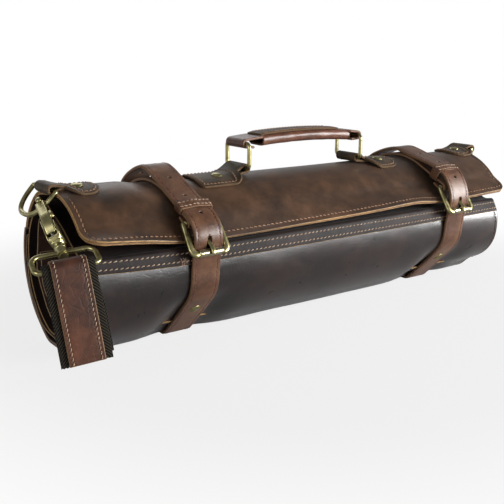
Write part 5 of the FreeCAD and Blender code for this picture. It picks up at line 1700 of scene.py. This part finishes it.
@dataclass
class SnapHook:
    """The cast hook on the left D-ring: a bend, a spine, a channel for the bolt and a neck.

    Its own frame has the seat on the D-ring at the origin, the open side, the face and up the hook.
    """

    bend: float = 6.0
    seat_drop: float = 1.4
    twist: float = 30.0
    bolt_at: float = 5.9
    foot: float = -50.4
    coil: float = 1.05
    coil_turns: int = 7

    def __post_init__(self) -> None:
        """Set the hook's own frame: open side, face and up the hook."""
        self.up = -axis_of("bolt_slide")
        face = -axis_of("hook_swing")
        face = unit(face - self.up * (face @ self.up))
        side = np.cross(-self.up, face)
        twist = math.radians(self.twist)
        self.open = side * math.cos(twist) + face * math.sin(twist)
        self.face = face * math.cos(twist) - side * math.sin(twist)
        self.ways = np.stack([self.open, self.face, self.up])
        self.seat = pin("hook_swing") - self.seat_drop * self.up

    def spot(self, points: Any) -> Array:
        """Points of the hook's own frame in space."""
        return self.seat + np.asarray(points, float) @ self.ways

    def block(self, flat: Points, low: float, high: float) -> Form:
        """An outline of open side and face, drawn out between two heights up the hook."""
        return prism(flat, self.spot([0.0, 0.0, (low + high) / 2]), self.open, self.face, (high - low) / 2)

    def build(self) -> None:
        """Make the hook, its sliding bolt and the spring behind it."""
        make_piece("snap_hook_cast", Form.join([self.crook(), *self.channel(), self.neck()]), Finish.BRASS,
                   "hook", ["snap_hook"])
        bar, nub = box_line((3.9, -3.7), (7.9, 3.7), 0.7, 0.4), box_line((4.3, 3.2), (7.2, 6.0), 0.8, 0.4)
        bolt = Form.join([self.block(bar, -42.0, -2.8), self.block(nub, -24.6, -17.0)])
        bore = rod(self.coil + 0.5, -48.0, -30.0, self.spot([self.bolt_at, 0.0, 0.0]), self.up, 20)
        make_piece("hook_bolt_bar", bolt, Finish.BRASS, "bolt", ["hook_bolt"], holes=[bore])
        turn = np.linspace(0, self.coil_turns * math.tau, 150)
        coil = np.stack([self.bolt_at + self.coil * np.cos(turn), self.coil * np.sin(turn),
                         np.linspace(-46.6, -36.4, len(turn))], axis=1)
        make_piece("bolt_spring_coil", tube(self.spot(coil), outline(0.25, 0.25, 2, 6), self.up),
                   Finish.STEEL, "hook", ["bolt_spring"])

    def crook(self) -> Form:
        """The bend over the D-ring and the spine below it: round at the nose, flat at the foot.

        Returns:
            The bent bar.
        """
        turn = np.radians(np.linspace(-14, 180, 34))
        bend = np.stack([self.bend * np.cos(turn), self.bend * np.sin(turn)], axis=1)
        spine = spline([(-self.bend, 0.0), (-5.8, -6.0), (-4.8, -13.0), (-3.6, -20.0), (-2.9, -27.0),
                        (-2.6, -38.0), (-2.6, -49.0)], 6)
        flat = np.vstack([bend, spine[1:]])
        run = along(flat)
        nose = round_end(slope(run, -0.4, 1.6), 0.03)
        thick = np.interp(run, [0, 6, 18, 34, 46], [2.35, 2.5, 2.1, 1.5, 1.3]) * nose
        wide = np.interp(run, [0, 6, 18, 34, 46, 60], [3.0, 2.8, 2.3, 3.2, 4.6, 5.0]) * nose
        return tube(self.spot(np.insert(flat, 1, 0.0, axis=1)), sections(wide, thick, 2.6, 20), self.face)

    def channel(self) -> list[Form]:
        """The floor under the bolt, the block above the neck and the two side walls.

        Returns:
            The four blocks.
        """
        wall_line = box_line((-3.6, 4.0), (7.4, 5.0), 0.45, 0.3)
        return [self.block(box_line((-3.8, -5.0), (7.6, 5.0), 1.6, 0.6), -49.2, -46.8),
                self.block(box_line((-3.8, -4.2), (5.4, 4.2), 1.6, 0.6), -50.8, -49.0),
                self.block(wall_line, -48.0, -30.0), self.block(wall_line * [1, -1], -48.0, -24.0)]

    def neck(self) -> Form:
        """The turned neck that the swivel ring is riveted to.

        Returns:
            The turned form.
        """
        profile = [(0, 0), (3.4, 0), (3.9, -0.9), (3.9, -1.6), (2.9, -2.2), (2.9, -2.7), (4.3, -3.3),
                   (4.3, -5.2), (3.8, -5.8), (0, -5.8)]
        return lathe(profile, self.spot([0.0, 0.0, self.foot]), self.up, 32)


# ---- carrying handle -------------------------------------------------------------------------

@dataclass
class Handle:
    """The grip between the two rings: an inner strap, a rolled grip and a stitched cap strip."""

    half: float = 67.0
    y: float = 5.0
    rise: float = 3.2
    bore: float = 2.12
    tail: float = 8.5
    core_half: float = 13.5
    waist: float = 5.5
    waist_left: float = -50.0
    waist_right: float = 58.0
    grip_length: float = 105.0
    grip_shift: float = 5.0
    grip_half: float = 12.0
    grip_top: float = 2.4
    grip_low: float = -7.4
    cap_length: float = 92.0
    cap_shift: float = -3.0
    cap_thick: float = 1.6
    cap_seam: float = 2.4

    def __post_init__(self) -> None:
        """Work out the arch: its circle touches both end loops."""
        self.level = float(pin("handle_hinge")[2])
        bar_arch = (self.half ** 2 + self.rise ** 2) / (2 * self.rise)
        self.radius = bar_arch + self.bore
        self.centre = self.level + self.rise - bar_arch
        self.swing = math.degrees(math.asin(self.half / bar_arch))

    def build(self) -> None:
        """Make the three leather pieces and their stitching."""
        self.core()
        self.grip()
        self.cap()

    def core(self) -> None:
        """The inner strap: an end loop round each ring, waisted where the grip hides it."""
        tail = np.linspace(self.tail, 0.0, 8)
        left = np.vstack([np.stack([-self.half + tail, self.level - self.bore - 0.055 * tail], axis=1),
                          arc((-self.half, self.level), self.bore, 268, 90 + self.swing, 22)])
        top = arc((0.0, self.centre), self.radius, 90 + self.swing, 90 - self.swing, 90)
        path = np.vstack([left, top[1:-1], left[::-1] * [-1, 1]])
        flat = resample(path, spread(along(path)[-1], 210, 0.8))
        inside = np.clip(np.minimum(flat[:, 0] - self.waist_left, self.waist_right - flat[:, 0]) / 5.0, 0, 1)
        half = self.core_half - self.waist * eased(inside * (flat[:, 1] > self.level))
        y = self.y + half[:, None] * (spread(2.0, 16, 0.06) - 1.0)[None, :]
        grid = np.stack([np.broadcast_to(flat[:, :1], y.shape), y, np.broadcast_to(flat[:, 1:], y.shape)], -1)
        make_piece("handle_core_hide", shell(grid, TAB_THICK, 0.8, flip=True), Finish.GRIP, "handle",
                   ["handle_core"])

    def arched(self, length: float, count: int, section: Array, shift: float) -> Array:
        """Carry a section along the arch.

        Args:
            length: how long the piece is.
            count: how many places its middle gets.
            section: Y and height over the arch's own line of each point across.
            shift: how far along X the piece sits from the handle's middle.
        Returns:
            The grid.
        """
        turn = (spread(length, count, 0.7) - length / 2 + shift) / self.radius
        reach = self.radius + section[None, :, 1]
        x, z = reach * np.sin(turn)[:, None], self.centre + reach * np.cos(turn)[:, None]
        return np.stack([x, np.broadcast_to(self.y + section[None, :, 0], x.shape), z], axis=-1)

    def grip(self) -> None:
        """The rolled leather round the core, open along the top where the cap lies, hollow at its ends."""
        half, top, low = self.grip_half, self.grip_top, self.grip_low
        outer = rounded_line([(7.0, top), (half, top), (half, low), (-half, low), (-half, top), (-7.0, top)],
                             [1, 4.6, 5.0, 5.0, 4.6, 1])
        grid = self.arched(self.grip_length, 70, outer, self.grip_shift)
        core = grid * ALONG_X + [0.0, self.y, self.centre + self.radius - 2.0]
        wave = 0.18 * ripple(grid[..., 0], grid[..., 1] * 3 + grid[..., 2] * 3, 71, 16.0)
        grid = grid + unit(grid - core) * wave[..., None]
        make_piece("handle_grip_hide", shell(grid, 1.7, 0.6, core=core), Finish.GRIP, "handle",
                   ["handle_grip"])

    def cap(self) -> None:
        """The flat strip along the top, its edges cut square and sewn down on both sides."""
        half = self.grip_half - 1.4
        across = spread(2 * half, 14, 0.6, self.cap_seam) - half
        dome = 0.5 * (1 - (across / half) ** 2)
        section = np.stack([across, self.grip_top + 0.1 + self.cap_thick + dome], axis=1)
        grid = self.arched(self.cap_length, 80, section, self.cap_shift)
        grid[..., 2] -= 0.6 * slope(-grid[..., 0], 42.0, 7.0) ** 2
        make_piece("handle_cap_hide", shell(grid, self.cap_thick, 0.6, groove=(self.cap_seam, 0.2)),
                   Finish.TAB, "handle", ["handle_cap_strip"])
        rows = edge_rows(grid, np.linspace(6, len(grid) - 7, 600), index_at(self.cap_seam, across + half),
                         (self.y, self.centre), pitch=3.4, wide=0.42)
        sew("handle_cap_stitching", rows, Finish.TAN_THREAD, "handle")


# ---- the end of the shoulder strap -----------------------------------------------------------

@dataclass
class StrapEnd:
    """Herringbone webbing folded over the strap ring, with a stitched leather strip on its outside."""

    bore: float = 2.32
    web_thick: float = 2.7
    web_half: float = 18.5
    web_skew: float = 3.2
    drop: float = 68.0
    facing_half: float = 13.0
    facing_thick: float = 2.0
    facing_lap: float = 12.0
    seam_inset: float = 2.9
    bow: float = 0.7
    hang: tuple[float, float, float] = (0.12, -0.23, -0.97)

    def __post_init__(self) -> None:
        """Set up the hanging frame: across the strap, down it, and back towards the roll."""
        self.bar = pin("strap_hinge")
        way = axis_of("strap_hinge")
        self.way = way if way[0] > 0 else -way
        self.down = unit(self.hang - self.way * (self.hang @ self.way))
        self.back = np.cross(-self.down, self.way)

    def lay(self, flat: Array, across: Array, skew: float = 0.0) -> Array:
        """Place a side-view line and widths in space.

        Args:
            flat: back and height of each point of the line.
            across: places across the strap.
            skew: how far the back lap shifts sideways.
        Returns:
            The grid.
        """
        shift = skew * slope(flat[:, 0], 0.0, 6.0) * slope(-flat[:, 1], 0.0, 30.0)
        wide = across[None, :] + shift[:, None]
        point = self.bar + flat[:, :1] * self.back - flat[:, 1:] * self.down
        return point[:, None] + wide[..., None] * self.way

    def lap(self, reach: float, back_drop: float) -> Array:
        """Draw a lap in side view: up the back, over the bar and down the front.

        Args:
            reach: distance of its outer face from the bar's middle.
            back_drop: how far down the back it starts.
        Returns:
            Back and height of its points.
        """
        swell = self.bow * np.sin(np.linspace(0, math.pi, 30)) ** 2
        return np.vstack([np.stack([reach + swell * 0.4, np.linspace(-back_drop, 0, 30)], 1),
                          arc((0.0, 0.0), reach, 0, 180, 30)[1:-1],
                          np.stack([-reach - swell, np.linspace(0, -self.drop, 30)], 1)])

    def build(self) -> None:
        """Make the webbing and the leather strip on it."""
        self.webbing()
        self.facing()

    def webbing(self) -> None:
        """The webbing, both its ends frayed."""
        path = self.lap(self.bore + self.web_thick, self.drop - 3.0)
        places = spread(along(path)[-1], 120, 0.6)
        across = spread(2 * self.web_half, 30, 0.6) - self.web_half
        grid = self.lay(resample(path, places), across, self.web_skew)
        fray = 0.4 * ripple(grid[..., 1] * 6, grid[..., 0] * 6, 91, 9.0)
        edge = np.clip(1 - np.minimum(places, places[-1] - places) / 1.5, 0, 1)[:, None]
        grid = grid - self.down * (fray * edge)[..., None]
        make_piece("shoulder_webbing_weave", shell(grid, self.web_thick, 0.6, core=self.bar), Finish.WEB,
                   "shoulder_strap", ["shoulder_webbing"])

    def facing(self) -> None:
        """The leather strip over the webbing, sewn along both edges."""
        strip = self.lap(self.bore + self.web_thick + 0.15 + self.facing_thick, self.facing_lap)
        places = spread(along(strip)[-1], 110, 0.8, 3.0)
        across = spread(2 * self.facing_half, 12, 0.8, self.seam_inset) - self.facing_half
        grid = self.lay(resample(strip, places), across)
        form = shell(grid, self.facing_thick, 0.8, core=self.bar, groove=(self.seam_inset, 0.25))
        make_piece("shoulder_facing_hide", form, Finish.FACING, "shoulder_strap", ["shoulder_facing"])
        column = index_at(self.seam_inset, across + self.facing_half)
        rows = edge_rows(grid, np.linspace(8, len(places) - 2.5, 600), column, self.bar[1:], pitch=3.4,
                         wide=0.42, slant=0.3)
        sew("shoulder_facing_stitching", rows, Finish.PALE_THREAD, "shoulder_strap")


# ---- studio ----------------------------------------------------------------------------------

@dataclass(frozen=True)
class Lamp:
    """A rectangular softbox: its place and aim in metres, its size and its power in watts."""

    name: str
    place: tuple[float, float, float]
    aim: tuple[float, float, float]
    size: tuple[float, float]
    power: float

    def build(self) -> None:
        """Hang the softbox, turned towards its aim."""
        data = bpy.data.lights.new(self.name, "AREA")
        data.shape = "RECTANGLE"
        data.size, data.size_y = self.size
        data.energy = self.power
        lamp = bpy.data.objects.new(self.name, data)
        lamp.location = self.place
        lamp.rotation_mode = "QUATERNION"
        lamp.rotation_quaternion = (Vector(self.aim) - Vector(self.place)).to_track_quat("-Z", "Y")
        bpy.context.scene.collection.objects.link(lamp)


@dataclass
class Studio:
    """Pale floor, soft lamps and the camera, whose angles are degrees."""

    yaw: float = 36.340
    pitch: float = 14.352
    roll: float = 0.3965
    place: tuple[float, float, float] = (-484.54, -584.71, 238.93)
    focal: float = 57.697
    lamps: tuple[Lamp, ...] = (
        Lamp("front_softbox", (1.15, -1.05, 0.55), (0.05, 0, 0.08), (0.8, 0.6), 16),
        Lamp("low_strip", (1.0, -1.3, 0.32), (0, 0, 0.07), (1.3, 0.34), 30),
        Lamp("left_fill", (-1.5, -0.5, 0.6), (-0.2, 0, 0.07), (0.8, 0.6), 5),
        Lamp("rear_softbox", (0.3, 1.5, 0.9), (0, 0, 0.1), (1.4, 0.5), 4))

    def camera(self) -> None:
        """Set the camera at its height and angle."""
        yaw, pitch, roll = (math.radians(a) for a in (self.yaw, self.pitch, self.roll))
        ahead = Vector((math.sin(yaw), math.cos(yaw), 0))
        right = Vector((math.cos(yaw), -math.sin(yaw), 0))
        look = ahead * math.cos(pitch) - Vector((0, 0, 1)) * math.sin(pitch)
        up = Vector((0, 0, 1)) * math.cos(pitch) + ahead * math.sin(pitch)
        right, up = (right * math.cos(roll) + up * math.sin(roll),
                     up * math.cos(roll) - right * math.sin(roll))
        data = bpy.data.cameras.new("camera")
        data.sensor_width = 36.0
        data.lens = self.focal
        data.clip_start, data.clip_end = 0.01, 50.0
        camera = bpy.data.objects.new("camera", data)
        turn = Matrix((right, up, -look)).transposed()
        camera.matrix_world = Matrix.Translation(Vector(self.place) * MM) @ turn.to_4x4()
        bpy.context.scene.collection.objects.link(camera)
        bpy.context.scene.camera = camera

    def floor(self) -> None:
        """White paper that fades to pure white away from the object, where the camera or gloss sees it."""
        bpy.ops.mesh.primitive_plane_add(size=14.0, location=(0, 0, 0))
        floor = bpy.context.object
        floor.name = "floor"
        g = Graph("matt_white_paper")
        away = g.add("VectorMath", {0: g.place()}, operation="LENGTH").outputs["Value"]
        rays = g.add("LightPath").outputs
        paper = g.add("BsdfPrincipled", {"Base Color": linear("b4b4b4"), "Roughness": 0.9,
                                         "Specular IOR Level": 0.1})
        white = g.add("Emission", {"Color": (1, 1, 1, 1), "Strength": 1.0})
        near, mirror = (g.add("MapRange", {0: away, 1: start, 2: end, 3: low, 4: high},
                              interpolation_type="SMOOTHSTEP").outputs[0]
                        for start, end, low, high in ((0.26, 0.50, 0.80, 1.0), (0.40, 1.1, 0.0, 0.8)))
        gloss = g.total((rays["Is Glossy Ray"], 1.0), (rays["Is Transmission Ray"], 1.0), clamp=True)
        share = g.total((near, rays["Is Camera Ray"]), (mirror, gloss), clamp=True)
        mixed = g.add("MixShader", {0: share, 1: paper.outputs[0], 2: white.outputs[0]})
        floor.data.materials.append(g.finish(mixed))

    def world(self) -> None:
        """White to the camera; for light, a pale horizon under a dim ceiling."""
        g = Graph("studio", world=True)
        up = g.add("SeparateXYZ", {0: g.add("TexCoord").outputs["Generated"]}).outputs[2]
        glow = g.add("MapRange", {0: up, 1: 0.12, 2: 0.62, 3: 0.5, 4: 0.16}).outputs[0]
        soft, white = (g.add("Background", {"Color": (1, 1, 1, 1), "Strength": strength})
                       for strength in (glow, 1.0))
        seen = g.add("LightPath").outputs["Is Camera Ray"]
        mixed = g.add("MixShader", {0: seen, 1: soft.outputs[0], 2: white.outputs[0]})
        bpy.context.scene.world = g.finish(mixed)

    def build(self) -> None:
        """Set up the studio."""
        self.camera()
        self.floor()
        self.world()
        for lamp in self.lamps:
            lamp.build()
        bpy.context.scene.view_settings.view_transform = "Standard"


# ---- assembly --------------------------------------------------------------------------------

NODE_FINISH = {"panel_leather": Finish.PANEL, "flap_leather": Finish.FLAP, "lining_leather": Finish.LINING,
               "strap_leather": Finish.STRAP, "tab_leather": Finish.TAB, "grip_leather": Finish.GRIP,
               "facing_leather": Finish.FACING, "rivet_brass": Finish.BRASS, "antique_brass": Finish.BRASS,
               "roller_brass": Finish.ROLLER, "spring_steel": Finish.STEEL, "webbing": Finish.WEB}


def dress_nodes() -> None:
    """Give every CAD node the finish of its material slot."""
    for part in frame["record"]["subparts"]:
        mesh = frame["nodes"][part["node"]].data
        mesh.materials.clear()
        mesh.materials.append(FINISHES.get(NODE_FINISH[part["material_slot"]]))


def main() -> None:
    """Build the studio and every sub-assembly in order."""
    logging.basicConfig(level=logging.INFO, format="%(name)s %(message)s")
    Studio().build()
    dress_nodes()
    Roll().build()
    for hand, side in HANDS.items():
        ClosingStrap(side, hand).build()
        Buckle(hand).build()
        END_RINGS[hand].build()
    tabs = [make_tab(hand, side) for hand, side in HANDS.items() for make_tab in (handle_tab, ring_anchor)]
    for tab in tabs:
        tab.build()
    for number, node in enumerate(("handle_tab_rivets", "anchor_rivets")):
        caps = [cap for tab in tabs[number::2] for cap in tab.rivet_caps()]
        make_piece(f"{node}_caps", Form.join(caps), Finish.BRASS, "roll", [node])
    Handle().build()
    SnapHook().build()
    StrapEnd().build()


if __name__ == "__main__":
    main()
